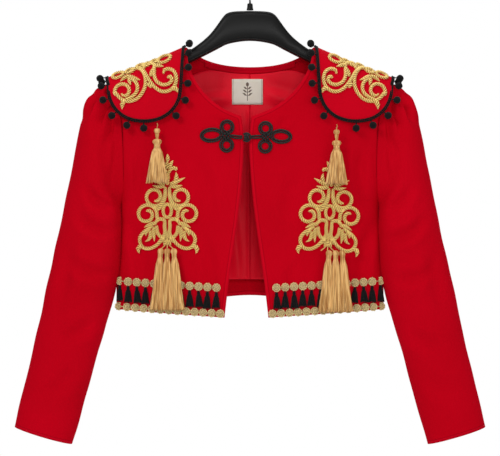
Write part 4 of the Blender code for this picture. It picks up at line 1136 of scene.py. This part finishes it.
# %% Find the pompoms' places
def far_islands(node_name, rim, gap):
    """Middles of the parts of a node that lie further than a gap from a rim."""
    mesh = bmesh.new()
    mesh.from_mesh(NODES[node_name].data)
    bmesh.ops.remove_doubles(mesh, verts=mesh.verts, dist=WELD_GAP)
    co = np.array([vertex.co for vertex in mesh.verts])
    near = np.array([np.linalg.norm(rim - point, axis=1).min() < gap for point in co])
    mesh.verts.ensure_lookup_table()
    seen, middles = set(np.flatnonzero(near)), []
    for index in range(len(co)):
        if index in seen:
            continue
        stack, island = [index], []
        seen.add(index)
        while stack:
            here = stack.pop()
            island.append(here)
            for edge in mesh.verts[here].link_edges:
                other = edge.other_vert(mesh.verts[here]).index
                if other not in seen:
                    seen.add(other)
                    stack.append(other)
        if len(island) > 6:
            middles.append((co[island].min(0) + co[island].max(0)) / 2)
    mesh.free()
    return np.array(middles)


# %% Pompom
BRAID_CORD = 0.00145
POMPOM = 0.0057


def wool_ball(name, radius, seed):
    """One clipped wool pompom round the origin."""
    bpy.ops.object.select_all(action="DESELECT")
    bpy.ops.mesh.primitive_ico_sphere_add(subdivisions=4, radius=radius)
    ball = bpy.context.active_object
    ball.name = name
    draw = np.random.default_rng(seed)
    points = points_of(ball)
    unit = points / radius
    swell = sum(np.sin(unit @ draw.normal(0, 4.2, 3) + draw.uniform(0, 6)) for _ in range(6)) / 6
    points *= (1 + 0.05 * swell + draw.uniform(-0.055, 0.055, len(points)))[:, None]
    set_points(ball, points)
    bpy.ops.object.shade_smooth()
    return ball


def copies(model, places, turns=None):
    """The model copied to each place, each copy with its own mesh; turns are about Y."""
    made = []
    for i, place in enumerate(places):
        piece = model.copy()
        piece.data = model.data.copy()
        spin = Matrix.Rotation(turns[i], 4, "Y") if turns is not None else Matrix.Identity(4)
        piece.data.transform(Matrix.Translation(Vector(place)) @ spin)
        bpy.context.scene.collection.objects.link(piece)
        made.append(piece)
    return made


# %% Braid and pompoms
STALK_RADII = np.array([1.6, 1.3, 1.1, 1.1, 1.4, 2.0]) * MM
EPAULETTE_CENTRE = (0.166, 0.0, -0.215)
BRAID_WIDTH = 0.0045    # what lies nearer to the edge than this is braid, not a pompom
BRAID_CORDS = ((0.0003, 1), (-0.0024, -1))      # how far off the edge, and which way twisted
BRAID_LIFT = 0.0009
ball = wool_ball("pompom", POMPOM, 5)
for side_name, side in SIDES.items():
    saddle = outlines[side_name]
    centre_x, centre_y, centre_z = EPAULETTE_CENTRE
    rim, off_edge, off_face = rim_loop(saddle, Vector((side * centre_x, centre_y, centre_z)))
    bpy.data.objects.remove(saddle)
    places = far_islands(f"{side_name}_pompom_trim", rim, BRAID_WIDTH)
    print(side_name, "epaulette has", len(places), "pompoms round an edge of", len(rim), "points")
    lines = []
    closed = np.arange(len(rim) + 1) % len(rim)
    for shift, hand in BRAID_CORDS:
        line = rim + off_edge * shift + off_face * BRAID_LIFT
        count = int(length_of(line[closed]) / 0.0011)
        lines.append((even(line[closed], count)[::hand], BRAID_CORD, True))
    braid = rope("braid", lines, lobes=2, depth=0.34, corners=8, pitch=0.0076)
    stalks = []
    for place in places:
        nearest = np.linalg.norm(rim - place, axis=1).argmin()
        foot = rim[nearest] + off_face[nearest] * 0.0006
        head = place + (foot - place) * (POMPOM - 0.0008) / np.linalg.norm(foot - place)
        stalks.append((np.linspace(foot, head, len(STALK_RADII)), STALK_RADII, False))
    stalk_cords = rope("stalks", stalks, lobes=2, depth=0.3, corners=8, pitch=0.004)
    balls = copies(ball, places, [1.7 * i for i in range(len(places))])
    piece = join(f"{side_name}_pompom_braid", [braid, stalk_cords] + balls)
    hand_over(piece, BLACK_YARN, "black_yarn", f"{side_name}_pompom_trim")
bpy.data.objects.remove(ball)


# %% [markdown]
# ## Tassels
# A tassel is a bundle of threads folded over a cord and bound at the neck. It could be
# one ribbed cone, but then its end would be a clean cut. Here it has a core, so that
# nothing shows through, and over it scores of separate threads of slightly different
# length. One is made for the fronts and one for the epaulettes; each copy is bent to hang
# where the imported model's tassel hangs. The core and the inner threads are painted
# darker: painted shade between the threads.

# %% Turn a body
def turned(name, profile, sides, ribs, rib_depth, flatness):
    """A body turned round an upright axis: profile rows are (radius, distance down) in mm."""
    rows = [(radius * MM, -down * MM) for radius, down in profile]
    radius, top = rows[0]
    bpy.ops.object.select_all(action="DESELECT")
    bpy.ops.mesh.primitive_circle_add(
        vertices=sides, radius=radius, location=(0, 0, top), fill_type="NGON"
    )
    body = bpy.context.active_object
    body.name = name
    bpy.ops.object.transform_apply(location=True)
    bpy.ops.object.mode_set(mode="EDIT")
    bpy.ops.mesh.select_all(action="SELECT")
    for (radius, height), (wider, lower) in zip(rows[:-1], rows[1:]):
        bpy.ops.mesh.extrude_region_move(TRANSFORM_OT_translate={"value": (0, 0, lower - height)})
        grow = wider / radius
        bpy.ops.transform.resize(value=(grow, grow, 1), center_override=(0, 0, lower))
    bpy.ops.mesh.select_all(action="SELECT")
    bpy.ops.mesh.normals_make_consistent(inside=False)
    bpy.ops.object.mode_set(mode="OBJECT")
    points = points_of(body)
    turn = np.arctan2(points[:, 1], points[:, 0])
    rib = 1 - rib_depth * (0.5 - 0.5 * np.cos(turn * ribs))
    points[:, 0] *= rib
    points[:, 1] *= rib * flatness
    set_points(body, points)
    # the ribs' crown, from which the finishes paint shade in the ribs' grooves
    set_value(body, "crown", 1 - (1 - rib) / rib_depth)
    bpy.ops.object.shade_smooth_by_angle(angle=math.radians(60))
    return body


def set_crown(piece, level):
    """The same crown all over a piece: 0 takes the painted shade of a groove's bottom."""
    levels = np.full(len(piece.data.vertices), level)
    piece.data.attributes["crown"].data.foreach_set("value", levels)


# %% Bind the neck
def rows_mm(x, y, z):
    """Points from their x, y and z in millimetres, as rows in metres."""
    return np.column_stack(np.broadcast_arrays(x, y, z)) * MM


def binding(name, rings, cord, flatness):
    """Turns of a twisted thread round the neck: rings are (radius, distance down) in mm."""
    angle = np.linspace(0, 2 * math.pi, 33)
    lines = []
    for radius, down in rings:
        ring = rows_mm(radius * np.cos(angle), radius * np.sin(angle) * flatness, -down)
        lines.append((ring, cord * MM, True))
    return rope(name, lines, **FINE_CORD)


# %% Hang loose threads
THREAD_SHAPE = np.array([0.7, 1, 1, 1, 1, 1, 1, 0.75])     # a thread's width along its length


def skirt(name, neck, shoulder, hem, layers, flatness, thread, seed):
    """Loose threads from the neck over the shoulder to the hem, each (radius, down) in mm."""
    draw = random.Random(seed)
    lines, shades = [], []
    for count, share in layers:
        for i in range(count):
            turn = 2 * math.pi * (i + draw.uniform(-0.35, 0.35)) / count
            length = hem[1] * draw.uniform(0.965, 1.006)
            drift = draw.uniform(-0.10, 0.10)
            sway = draw.uniform(0, FULL_TURN)
            points = []
            for t in np.linspace(0, 1, len(THREAD_SHAPE)):
                down = neck[1] + (length - neck[1]) * t
                soft = min(1.0, t * (hem[1] - neck[1]) / (shoulder[1] - neck[1]))
                radius = neck[0] + (shoulder[0] - neck[0]) * math.sin(soft * math.pi / 2)
                radius = (radius + (hem[0] - shoulder[0]) * max(0.0, t - 0.08) / 0.92) * share
                angle = turn + drift * t * t + 0.020 * math.sin(t * 9 + sway)
                points.append((radius * math.cos(angle), radius * math.sin(angle) * flatness, -down))
            width = thread * draw.uniform(0.8, 1.15)
            lines.append((np.array(points) * MM, THREAD_SHAPE * width * MM, False))
            # outer threads vary in tone at random; the inner layers get a low crown, painted shade under the
            # outer threads
            shades.append(draw.uniform(0.35, 1.0) if share > 0.9 else draw.uniform(0.0, 0.45))
    return rope(name, lines, lobes=2, depth=0.02, corners=5, pitch=None, shades=shades)


# %% Front tassel
# The fronts' tassels lie on the cloth and are flattened; on the epaulettes' ones the beads
# are nearly round and only the skirt is flat.
FLATNESS = 0.62
BEADS_FLATNESS, CAP_FLATNESS, SKIRT_FLATNESS = 0.9, 0.75, 0.55
# painted shade: the core is coloured almost as dark as a groove, for the shade between the threads
CORE_CROWN = 0.1


def front_tassel():
    profile = ((0.6, 0.0), (2.6, 0.4), (4.2, 1.7), (5.0, 3.6), (5.1, 5.4), (4.4, 7.6),
               (3.1, 9.4), (2.8, 10.6))
    head = turned("head", profile, 40, 13, 0.10, FLATNESS)
    neck = binding("neck", ((3.1, 9.4), (3.15, 10.9), (3.1, 12.4)), 0.9, FLATNESS)
    profile = ((2.2, 11.0), (4.0, 15.0), (4.8, 30.0), (6.1, 60.0), (7.2, 86.0))
    core = turned("core", profile, 40, 11, 0.16, FLATNESS)
    # painted shade on the core
    set_crown(core, CORE_CROWN)
    layers = ((46, 1.0), (26, 0.86), (14, 0.55))
    threads = skirt("threads", (2.9, 12.4), (5.2, 17.5), (9.2, 92.0), layers, FLATNESS, 0.62, 71)
    return join("front_tassel_model", [threads, head, neck, core])


# %% Epaulette tassel
def epaulette_tassel():
    profile = ((1.3, 7.6), (3.6, 8.3), (4.7, 10.2), (4.8, 12.0), (3.9, 14.4), (2.0, 15.8))
    bead = turned("bead", profile, 40, 12, 0.07, BEADS_FLATNESS)
    profile = ((2.4, 15.2), (3.0, 16.6), (2.6, 20.0), (2.0, 23.0), (2.2, 25.0))
    stem = turned("stem", profile, 24, 8, 0.14, BEADS_FLATNESS)
    profile = ((2.4, 24.4), (5.6, 25.4), (7.2, 27.6), (7.4, 29.4), (6.4, 31.6), (4.8, 32.8))
    cap = turned("cap", profile, 48, 15, 0.08, CAP_FLATNESS)
    profile = ((4.6, 32.0), (4.9, 34.0), (4.2, 36.4), (4.4, 38.0))
    waist = turned("waist", profile, 40, 8, 0.22, CAP_FLATNESS)
    ring = binding("ring", ((4.3, 36.6), (4.4, 38.0)), 0.8, CAP_FLATNESS)
    line = through([(0, 0, 0.5), (1.0, 0, -2.5), (0.2, 0, -5.5), (0, 0, -8.6)], 14) * MM
    loop = rope("loop", [(line, 0.9 * MM, False)], **FINE_CORD)
    profile = ((3.4, 37.0), (5.8, 41.0), (8.6, 56.0), (11.4, 74.0), (13.4, 88.0))
    core = turned("core", profile, 48, 13, 0.12, SKIRT_FLATNESS)
    # painted shade on the core
    set_crown(core, CORE_CROWN)
    layers = ((76, 1.0), (42, 0.88), (24, 0.55))
    threads = skirt("threads", (4.2, 38.0), (7.6, 43.0), (17.0, 94.0), layers, SKIRT_FLATNESS, 0.70, 83)
    return join("epaulette_tassel_model", [threads, bead, stem, cap, waist, ring, loop, core])


# %% Hang the tassels
def axis_of(node_name):
    """The line down the middle of a packed tassel, from its rings of points."""
    points = points_of(NODES[node_name])
    heights = np.unique(np.round(points[:, 2], 3))[::-1]
    middles = []
    for height in heights:
        ring = points[np.abs(points[:, 2] - height) < 0.0011]
        middles.append((ring.min(0) + ring.max(0)) / 2)
    return np.array(middles)


def hang(model, node_name, length, raised=0.0):
    """A copy of a tassel model, stretched to a packed tassel's length and bent to its axis."""
    axis = axis_of(node_name)
    low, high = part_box(node_name)
    piece = copies(model, [(0, 0, 0)])[0]
    piece.name = f"{node_name}_threads"
    points = points_of(piece)
    top = high.z + raised
    height = top + points[:, 2] * (top - low.z) / length
    axis = axis[np.argsort(axis[:, 2])]
    for k in (0, 1):
        points[:, k] += np.interp(height, axis[:, 2], axis[:, k])
    points[:, 2] = height
    set_points(piece, points)
    return hand_over(piece, GOLD_THREAD, "gold_thread", node_name)


FRONT_TASSEL_LENGTH, FRONT_TASSEL_RAISED = 0.092, 0.0052
EPAULETTE_TASSEL_LENGTH = 0.094
model = front_tassel()
for side_name in SIDES:
    for place in ("inner", "middle", "outer"):
        node_name = f"{side_name}_front_tassel_{place}"
        hang(model, node_name, FRONT_TASSEL_LENGTH, FRONT_TASSEL_RAISED)
bpy.data.objects.remove(model)
model = epaulette_tassel()
for side_name in SIDES:
    hang(model, f"{side_name}_epaulette_tassel", EPAULETTE_TASSEL_LENGTH)
bpy.data.objects.remove(model)


# %% [markdown]
# ## Hem trims on the fronts
# Two rows of pale gold rosettes run along the fronts' hem, joined by a short cord, and a
# black tassel hangs from each rosette of the upper row. A rosette is a flat coil of cord
# with stitches across it. It and the black tassel are each made once, with few faces,
# because there are dozens of them.

# %% Rosette
def rosette_model():
    """A flat round rosette facing -Y: an edge cord, an inner coil and a crossed knot."""
    angle = np.linspace(0, 2 * math.pi, 37)
    wavy = 5.5 + 0.35 * np.cos(angle * 9)
    lines = [(rows_mm(wavy * np.cos(angle), 0, wavy * np.sin(angle)), 1.35 * MM, True)]
    angle = np.linspace(0, 2 * math.pi, 21)
    lines.append((rows_mm(3.0 * np.cos(angle), -0.5, 3.0 * np.sin(angle)), 1.15 * MM, True))
    for turn in (0.5, 2.07):
        reach = np.linspace(-4.6, 4.6, 9)
        bulge = -1.1 + 0.05 * reach**2
        lines.append((rows_mm(reach * math.cos(turn), bulge, reach * math.sin(turn)), 1.0 * MM, False))
    coil = rope("coil", lines, lobes=2, depth=0.34, corners=7, pitch=0.0036)
    back = turned("back", ((1.0, -0.6), (4.6, -0.4), (4.9, 0.6), (1.0, 0.9)), 18, 9, 0.05, 1.0)
    # painted shade: the disc behind the coil takes the groove's dark gold, for the gaps in the rosette
    set_crown(back, 0.0)
    back.data.transform(Matrix.Rotation(math.pi / 2, 4, "X"))
    return join("rosette_model", [coil, back])


# %% Black tassel
def black_tassel_model():
    """A small black tassel, its top at the origin."""
    head = turned("head", ((0.8, 0.0), (2.1, 0.8), (2.7, 2.8), (2.5, 4.6), (1.9, 6.0)), 12, 6, 0.12, 0.8)
    body = turned("body", ((1.8, 5.8), (3.0, 8.0), (3.9, 13.5), (5.4, 23.5), (5.6, 24.6)), 24, 8, 0.24, 0.5)
    threads = skirt("threads", (1.9, 5.8), (3.2, 8.4), (6.1, 26.6), ((19, 1.0),), 0.5, 0.72, 97)
    neck = binding("neck", ((2.1, 5.9),), 0.7, 0.8)
    return join("black_tassel_model", [threads, head, body, neck])


# %% Find the rows
def row_of(node_name, pitch):
    """Places (x, z) along the middle of a packed band, at about that pitch."""
    points = points_of(NODES[node_name])
    ends = []
    for end in (points[:, 0].min(), points[:, 0].max()):
        near = points[np.abs(points[:, 0] - end) < 0.012]
        ends.append((end, (near[:, 2].min() + near[:, 2].max()) / 2))
    (x_0, z_0), (x_1, z_1) = ends
    count = round((x_1 - x_0) / pitch)
    shares = (np.arange(count) + 0.5) / count
    return [(x_0 + (x_1 - x_0) * share, z_0 + (z_1 - z_0) * share) for share in shares]


# %% Lay the rows
PITCH = 0.0138              # from one rosette to the next
ROSETTE_LIFT = 0.0022       # a rosette's middle over the cloth
TASSEL_LIFT = 0.0030
TASSEL_DROP = 0.0068        # from a rosette's middle to the top of its tassel
rosette = rosette_model()
black_tassel = black_tassel_model()
turn_draw = random.Random(40)
for side_name, side in SIDES.items():
    for row_name in ("upper", "lower"):
        places = []
        for x, z in row_of(f"{side_name}_{row_name}_gimp", PITCH):
            found = FRONT_CLOTH.point(x, z) or FRONT_CLOTH.point(x, z + 0.007)
            if found:
                places.append((x, found[0].y - ROSETTE_LIFT, z))
        lines = [(np.linspace(a, b, 8), 0.0011, False) for a, b in zip(places[:-1], places[1:])]
        connecting = rope("connecting", lines, lobes=2, depth=0.3, corners=6, pitch=0.0036)
        flowers = copies(rosette, places, [turn_draw.uniform(0, FULL_TURN) for _ in places])
        piece = join(f"{side_name}_{row_name}_rosettes", flowers + [connecting])
        hand_over(piece, PALE_GIMP, "pale_gold_gimp", f"{side_name}_{row_name}_gimp")
        if row_name == "upper":
            tops = []
            for x, _, z in places:
                found = FRONT_CLOTH.point(x, z - 0.016)
                cloth_y = found[0].y if found else places[0][1]
                tops.append((x, cloth_y - TASSEL_LIFT, z - TASSEL_DROP))
            fringe = copies(black_tassel, tops)
            fringe_draw = random.Random(55 + side)
            for tassel in fringe:
                points = points_of(tassel)
                middle_x, top_z = points[:, 0].mean(), points[:, 2].max()
                lean = fringe_draw.uniform(-0.06, 0.06)
                stretch = fringe_draw.uniform(0.94, 1.04)
                points[:, 0] += (top_z - points[:, 2]) * lean
                points[:, 2] = top_z + (points[:, 2] - top_z) * stretch
                set_points(tassel, points)
            piece = join(f"{side_name}_black_tassel_fringe", fringe)
            hand_over(piece, BLACK_YARN, "black_yarn", f"{side_name}_hem_fringe")
bpy.data.objects.remove(rosette)
bpy.data.objects.remove(black_tassel)


# %% [markdown]
# ## The frog
# The fastening is soutache: two cords sewn side by side, coiled into three loops on each
# side and crossed into a knot in the middle. On the wearer's right it ends in a knotted
# button, on the left in a small loop that holds it. Each strand is a cord of its own,
# laid a strand's width inside or outside the drawn line.

# %% Soutache, and where the frog lies
def black_soutache():
    """Smoother than the wool and shinier along its crowns, which also get a painted highlight; its grooves
    get painted shade, near black.
    """
    cord = Finish("black_soutache", Sheen_Weight=0.02, Specular_IOR_Level=0.4)
    crown = cord.attribute("crown")
    fibre = cord.noise(1400.0, 2.0)
    # painted highlight on the crowns and painted shade in the grooves
    ground = cord.mix(cord.between(crown, 0.35, 1.0), paint(1, 1, 1), paint(24, 26, 24))
    rough = 0.58 - crown * 0.16 + fibre * 0.1
    return cord.feed(Base_Color=ground, Roughness=rough, height=fibre, depth=0.0003)


SOUTACHE = black_soutache()
STRAND = 1.75               # a strand's radius in millimetres
SIDE_BY_SIDE = STRAND * 0.98
FROG_TWIST = {"lobes": 2, "depth": 0.30, "corners": 10, "pitch": 0.0050}
LOOP_LIFT, KNOT_LIFT, BAR_LIFT = 1.4, 2.6, 2.0      # their middles over the cloth
KNOT_SIZE = 6.6
BUTTON_X, BUTTON_Z = -5.4, -277.5
FROG = {
    # loops as (centre x, z, radius x, z, turn), and the knot's middle, in millimetres
    "frog_button_side": (
        ((-60.5, -274.1, 15.5, 8.8, 4), (-36.2, -261.2, 8.6, 8.8, 0), (-36.8, -289.8, 8.6, 8.8, 0)),
        (-37.0, -275.5),
    ),
    "frog_loop_side": (
        ((49.0, -276.2, 14.5, 8.6, -3), (24.5, -263.4, 8.6, 8.6, 0), (23.8, -291.6, 8.6, 8.6, 0)),
        (25.2, -276.6),
    ),
}


# %% Loops, knot and bar of the frog
def loop_strands(loops):
    """Two strands side by side round each loop."""
    strands = []
    for x, z, radius_x, radius_z, turn in loops:
        for inset in (-SIDE_BY_SIDE, SIDE_BY_SIDE):
            ring = oval((x, z), radius_x + inset, radius_z + inset, turn)
            spot = laid(FRONT_CLOTH, ring * MM, LOOP_LIFT * MM, cyclic=True)
            strands.append((spot, STRAND * MM, True))
    return strands


def knot_strands(centre):
    """A flat woven knot: three strands cross three others, over and under in turn."""
    strands = []
    share = np.linspace(-1, 1, 25)
    for tilt, phase in ((38, 0), (-52, math.pi)):
        c, s = math.cos(math.radians(tilt)), math.sin(math.radians(tilt))
        for k, offset in enumerate((-0.62, 0.0, 0.62)):
            u = share * math.sqrt(1.15 - offset**2) * KNOT_SIZE
            v = offset * KNOT_SIZE
            flat = np.column_stack([centre[0] + u * c - v * s, centre[1] + u * s + v * c])
            spot = laid(FRONT_CLOTH, flat * MM, KNOT_LIFT * MM)
            along = np.linspace(-1, 1, len(spot))
            weave = np.cos(along * math.pi * 1.55 + math.pi * (k % 2) + phase)
            spot[:, 1] -= (0.9 + 0.8 * weave) * MM * (1 - 0.8 * along**4)
            strands.append((spot, 1.35 * MM, False))
    return strands


def bar_strands(knot, bar_end, side):
    """Two strands from the knot to the button or the loop, rising from the cloth."""
    strands = []
    bar_start = knot[0] - side * 5.5
    for offset in (-STRAND, STRAND):
        bar = through([(bar_start, knot[1] + offset * 0.8),
                       ((bar_start + bar_end) / 2, -277.0 + offset * 1.1),
                       (bar_end, -277.4 + offset * 0.7)])
        spot = laid(FRONT_CLOTH, bar * MM, BAR_LIFT * MM)
        spot[:, 1] -= 1.2 * MM * np.linspace(0, 1, len(spot))
        strands.append((spot, 1.6 * MM, False))
    return strands


# %% Button and catch loop
def button_strands(front_y):
    """The knotted button: three turns of cord round a thick core."""
    strands = []
    angle = np.linspace(0, 2 * math.pi, 41)
    for tilt, size_x, size_z in ((0.5, 3.0, 4.9), (-0.5, 3.0, 4.9), (1.57, 2.9, 2.6)):
        across, up = size_x * np.cos(angle), size_z * np.sin(angle)
        ring = rows_mm(
            BUTTON_X + across * math.cos(tilt) - up * math.sin(tilt) * 0.6,
            front_y - 1.4 * np.cos(angle * 2 + tilt) - 0.8,
            BUTTON_Z + across * math.sin(tilt) + up * math.cos(tilt),
        )
        strands.append((even(ring, 60), 1.55 * MM, True))
    radii = np.array([1.6, 2.5, 3, 3.2, 3.3, 3.2, 3, 2.5, 1.6]) * MM
    core = rows_mm(BUTTON_X, front_y, np.linspace(-274.2, -280.8, len(radii)))
    return strands + [(core, radii, False)]


def catch_strand(front_y):
    """The small open loop that goes round the button."""
    turn = np.radians(np.linspace(-140, 140, 41))
    loop = rows_mm(
        BUTTON_X + 6.4 * np.cos(turn), front_y + 1.2 - 1.2 * np.cos(turn), BUTTON_Z + 6.6 * np.sin(turn)
    )
    return (even(loop, 44), 1.45 * MM, False)


# %% Sew the frog on
for frog_name, (loops, knot) in FROG.items():
    side = 1 if frog_name == "frog_loop_side" else -1
    bar_end = BUTTON_X + side * 6.6
    strands = loop_strands(loops) + knot_strands(knot) + bar_strands(knot, bar_end, side)
    base = FRONT_CLOTH.point(bar_end * MM + side * 0.004, BUTTON_Z * MM)
    front_y = (base[0].y / MM if base else -50.0) - 4.2
    if side < 0:
        strands += button_strands(front_y)
    else:
        strands.append(catch_strand(front_y))
    piece = rope(f"{frog_name}_soutache", strands, **FROG_TWIST)
    hand_over(piece, SOUTACHE, "black_yarn", frog_name)


# %% [markdown]
# ## Label
# The maker's label is a small woven tape under the neck. It keeps its place, its cream
# ground and its turned-in ends, but carries only a plain leaf sprig, drawn in the shader
# from the object's own coordinates, because a woven figure has no thickness to model.

# %% Woven label
SPRIG_SCALE = 740.0     # the sprig is drawn in units of 1/740 metre
LEAF_ROWS = ((-5.0, 6.5), (-1.0, 6.0), (3.0, 5.0))      # height and reach of each pair
LEAF_WIDTH = 1.5
TAPE_THREADS = 900.0


def label_weave(centre_x, centre_z):
    """Cream tape with a sprig: a stem, three pairs of leaves and a bud, and a thin border."""
    tape = Finish("label_weave", Sheen_Weight=0.1, Specular_IOR_Level=0.25)
    place = tape.node("ShaderNodeTexCoord", output=3)
    place_x = tape.node("ShaderNodeSeparateXYZ", {}, {0: place}, output=0)
    place_z = Wire(tape, place_x.socket.node.outputs[2])
    across_tape = tape.maths("ABSOLUTE", place_x - centre_x)
    x = (place_x - centre_x) * SPRIG_SCALE
    z = (place_z - centre_z) * SPRIG_SCALE
    side_x = tape.maths("ABSOLUTE", x)
    mark = 1 - tape.between(side_x, 0.3, 0.6)
    mark = mark * (1 - tape.between(tape.maths("ABSOLUTE", z + 1.0), 9.5, 10.0))
    for height, reach in LEAF_ROWS:
        across = z - height - side_x * 0.6
        half = reach * 0.5
        width = LEAF_WIDTH - tape.maths("ABSOLUTE", side_x - half) * (LEAF_WIDTH / half)
        leaf = 1 - tape.between(tape.maths("ABSOLUTE", across) - width, -0.35, 0.15)
        mark = tape.maths("MAXIMUM", mark, leaf)
    bud_z = (z - 8.8) * 0.7
    bud = 1 - tape.between(x * x + bud_z * bud_z, 2.0, 4.0)
    mark = tape.maths("MAXIMUM", mark, bud)
    border = tape.between(across_tape, 0.0222, 0.0226) - tape.between(across_tape, 0.0232, 0.0236)
    weft = tape.wave("Z", TAPE_THREADS)
    warp = tape.wave("X", TAPE_THREADS)
    cloud = tape.noise(90.0)
    ground = tape.mix(cloud, paint(246, 236, 218), paint(255, 248, 234))
    ground = tape.mix(mark * 0.9, ground, paint(84, 54, 30))
    ground = tape.mix(border * 0.4, ground, paint(150, 110, 70))
    return tape.feed(Base_Color=ground, Roughness=0.72 + cloud * 0.1, height=weft + warp, depth=0.0002)


# %% Sew the label in
panel = soft_panel("neck_label", "neck_label_tape", 2)
low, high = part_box("neck_label")
LABEL = label_weave((low.x + high.x) / 2, (low.z + high.z) / 2)
hand_over(panel, LABEL, "label_weave", "neck_label")


# %% [markdown]
# ## Hanger
# The hanger is one moulding in black plastic with a broad shoulder and a raised rim round
# a sunken face, and a steel hook turns in its collar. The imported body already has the
# outline, so it is refined, and the rim is a bead laid along its front and back edges.
# A moulding has a fine, even texture that breaks up its shine.

# %% Plastic and steel
def black_plastic():
    plastic = Finish("black_plastic", Specular_IOR_Level=0.16, Coat_Roughness=0.3, IOR=1.5)
    grain = plastic.noise(1500.0, 2.0)
    cloud = plastic.noise(18.0, 3.0)
    ground = plastic.mix(cloud, paint(8, 8, 8), paint(16, 16, 15))
    return plastic.feed(Base_Color=ground, Roughness=0.40 + cloud * 0.14, Coat_Weight=0.02 + cloud * 0.03,
                        height=grain, depth=0.0001)


def hook_wire():
    steel = Finish("hook_wire", Metallic=1.0, Specular_IOR_Level=0.5)
    drawn = steel.noise(300.0, 2.0, (1.0, 1.0, 0.15))
    ground = steel.mix(drawn, paint(96, 96, 98), paint(150, 150, 152))
    return steel.feed(Base_Color=ground, Roughness=0.22 + drawn * 0.16, height=drawn, depth=0.0001)


PLASTIC = black_plastic()
STEEL = hook_wire()


# %% Hanger body with its rim
RIM_RADIUS = 0.0015
RIM_INSET = 0.0030
RIM_REACH = 0.178       # how far out from the middle the rim runs
DOWN = np.arange(-0.070, -0.215, -0.0006)       # heights at which the moulding is felt for
body = soft_panel("hanger_body", "hanger_moulding", 2)
rims = []
for face in (-1, 1):
    moulding = Cloth([body], face)
    for side in (-1, 1):
        for edge, inset in ((max, -1), (min, 1)):
            line = []
            for reach in np.linspace(0.0, RIM_REACH, 60):
                heights = [z for z in DOWN if moulding.point(side * reach, z)]
                if heights:
                    line.append((side * reach, edge(heights) + inset * RIM_INSET))
            line = np.array(line)
            eased(line, 4)
            rims.append((laid(moulding, line, 0.0, step=0.0030), RIM_RADIUS, False))
bead = rope("rims", rims, lobes=2, depth=0.02, corners=10, pitch=None)
body = join("hanger_moulding", [body, bead])
hand_over(body, PLASTIC, "black_plastic", "hanger_body")


# %% Socket and hook
for node_name in ("hanger_socket", "hanger_hook"):
    part = soft_panel(node_name, node_name + "_smooth", 1)
    steel = node_name == "hanger_hook"
    hand_over(part, STEEL if steel else PLASTIC, "hook_wire" if steel else "black_plastic", node_name)


# %% [markdown]
# ## The stage
# A jacket sold on its hanger is lit softly and evenly, so large lamps stand to the left,
# to the right, above and behind, and one from the front opens up the neck. A narrow lamp
# lifts the label. The world is white to the camera but dim as a light, which keeps the
# ground white without washing out the red.

# %% Camera
DISTANCE = 3.0      # metres from the jacket
FRAME_WIDTH = 0.8   # metres of the jacket's plane that the view takes in
SENSOR = 36
bpy.ops.object.camera_add(location=(0.0, -DISTANCE, -0.4202), rotation=(math.pi / 2, 0.0, 0.0))
camera = bpy.context.active_object
camera.data.lens = SENSOR * DISTANCE / FRAME_WIDTH
camera.data.sensor_width = SENSOR
bpy.context.scene.camera = camera
print("the view takes in", FRAME_WIDTH, "metres")


# %% Lamps
def lamp(name, kind, place, aim, power):
    """A lamp that looks at a point."""
    bpy.ops.object.light_add(type=kind, location=place)
    light = bpy.context.active_object
    light.name = name
    light.data.energy = power
    light.rotation_euler = (Vector(aim) - Vector(place)).to_track_quat("-Z", "Y").to_euler()
    return light.data


MIDDLE = (0.0, 0.0, -0.42)
LABEL_MIDDLE = (-0.0035, 0.02, -0.199)
AREA_LAMPS = (
    # name, place, aim, power in watts, width
    ("key_lamp", (-1.5, -2.0, 1.3), MIDDLE, 25, 0.8),
    ("neck_lamp", (0.25, -2.7, -0.05), (0.0, 0.0, -0.25), 18, 0.6),
    ("fill_lamp", (1.9, -1.9, 0.1), MIDDLE, 8, 1.6),
    ("top_lamp", (0.1, -0.2, 1.5), MIDDLE, 10, 0.9),
    ("back_lamp", (0.4, 2.0, 0.9), MIDDLE, 12, 1.5),
)
for name, place, aim, power, width in AREA_LAMPS:
    lamp(name, "AREA", place, aim, power).size = width
snoot = lamp("label_lamp", "SPOT", (0.0, -2.4, -0.05), LABEL_MIDDLE, 50)
snoot.spot_size = math.radians(1.9)      # only the label and a little round it
snoot.spot_blend = 1.0
snoot.shadow_soft_size = 0.02


# %% Floor
bpy.ops.mesh.primitive_plane_add(size=5.0, location=(0, 0, -1.25))
floor = bpy.context.active_object
floor.name = "pale_floor"
paper = Finish("white_paper", Roughness=0.9, Specular_IOR_Level=0.1)
shade = paper.mix(paper.noise(40.0), (0.90, 0.90, 0.90, 1), (0.93, 0.93, 0.93, 1))
floor.data.materials.append(paper.feed(Base_Color=shade))


# %% World
LIGHT_FROM_WORLD = 0.40
world = bpy.data.worlds.new("studio")
world.use_nodes = True
nodes, link = world.node_tree.nodes, world.node_tree.links.new
soft_light = nodes["Background"]
white_wall = nodes.new("ShaderNodeBackground")
for background in (soft_light, white_wall):
    background.inputs["Color"].default_value = (1.0, 1.0, 1.0, 1.0)
soft_light.inputs["Strength"].default_value = LIGHT_FROM_WORLD
seen_or_lit = nodes.new("ShaderNodeMixShader")
link(nodes.new("ShaderNodeLightPath").outputs["Is Camera Ray"], seen_or_lit.inputs[0])
link(soft_light.outputs[0], seen_or_lit.inputs[1])
link(white_wall.outputs[0], seen_or_lit.inputs[2])
link(seen_or_lit.outputs[0], nodes["World Output"].inputs[0])
bpy.context.scene.world = world
bpy.context.scene.view_settings.view_transform = "Standard"
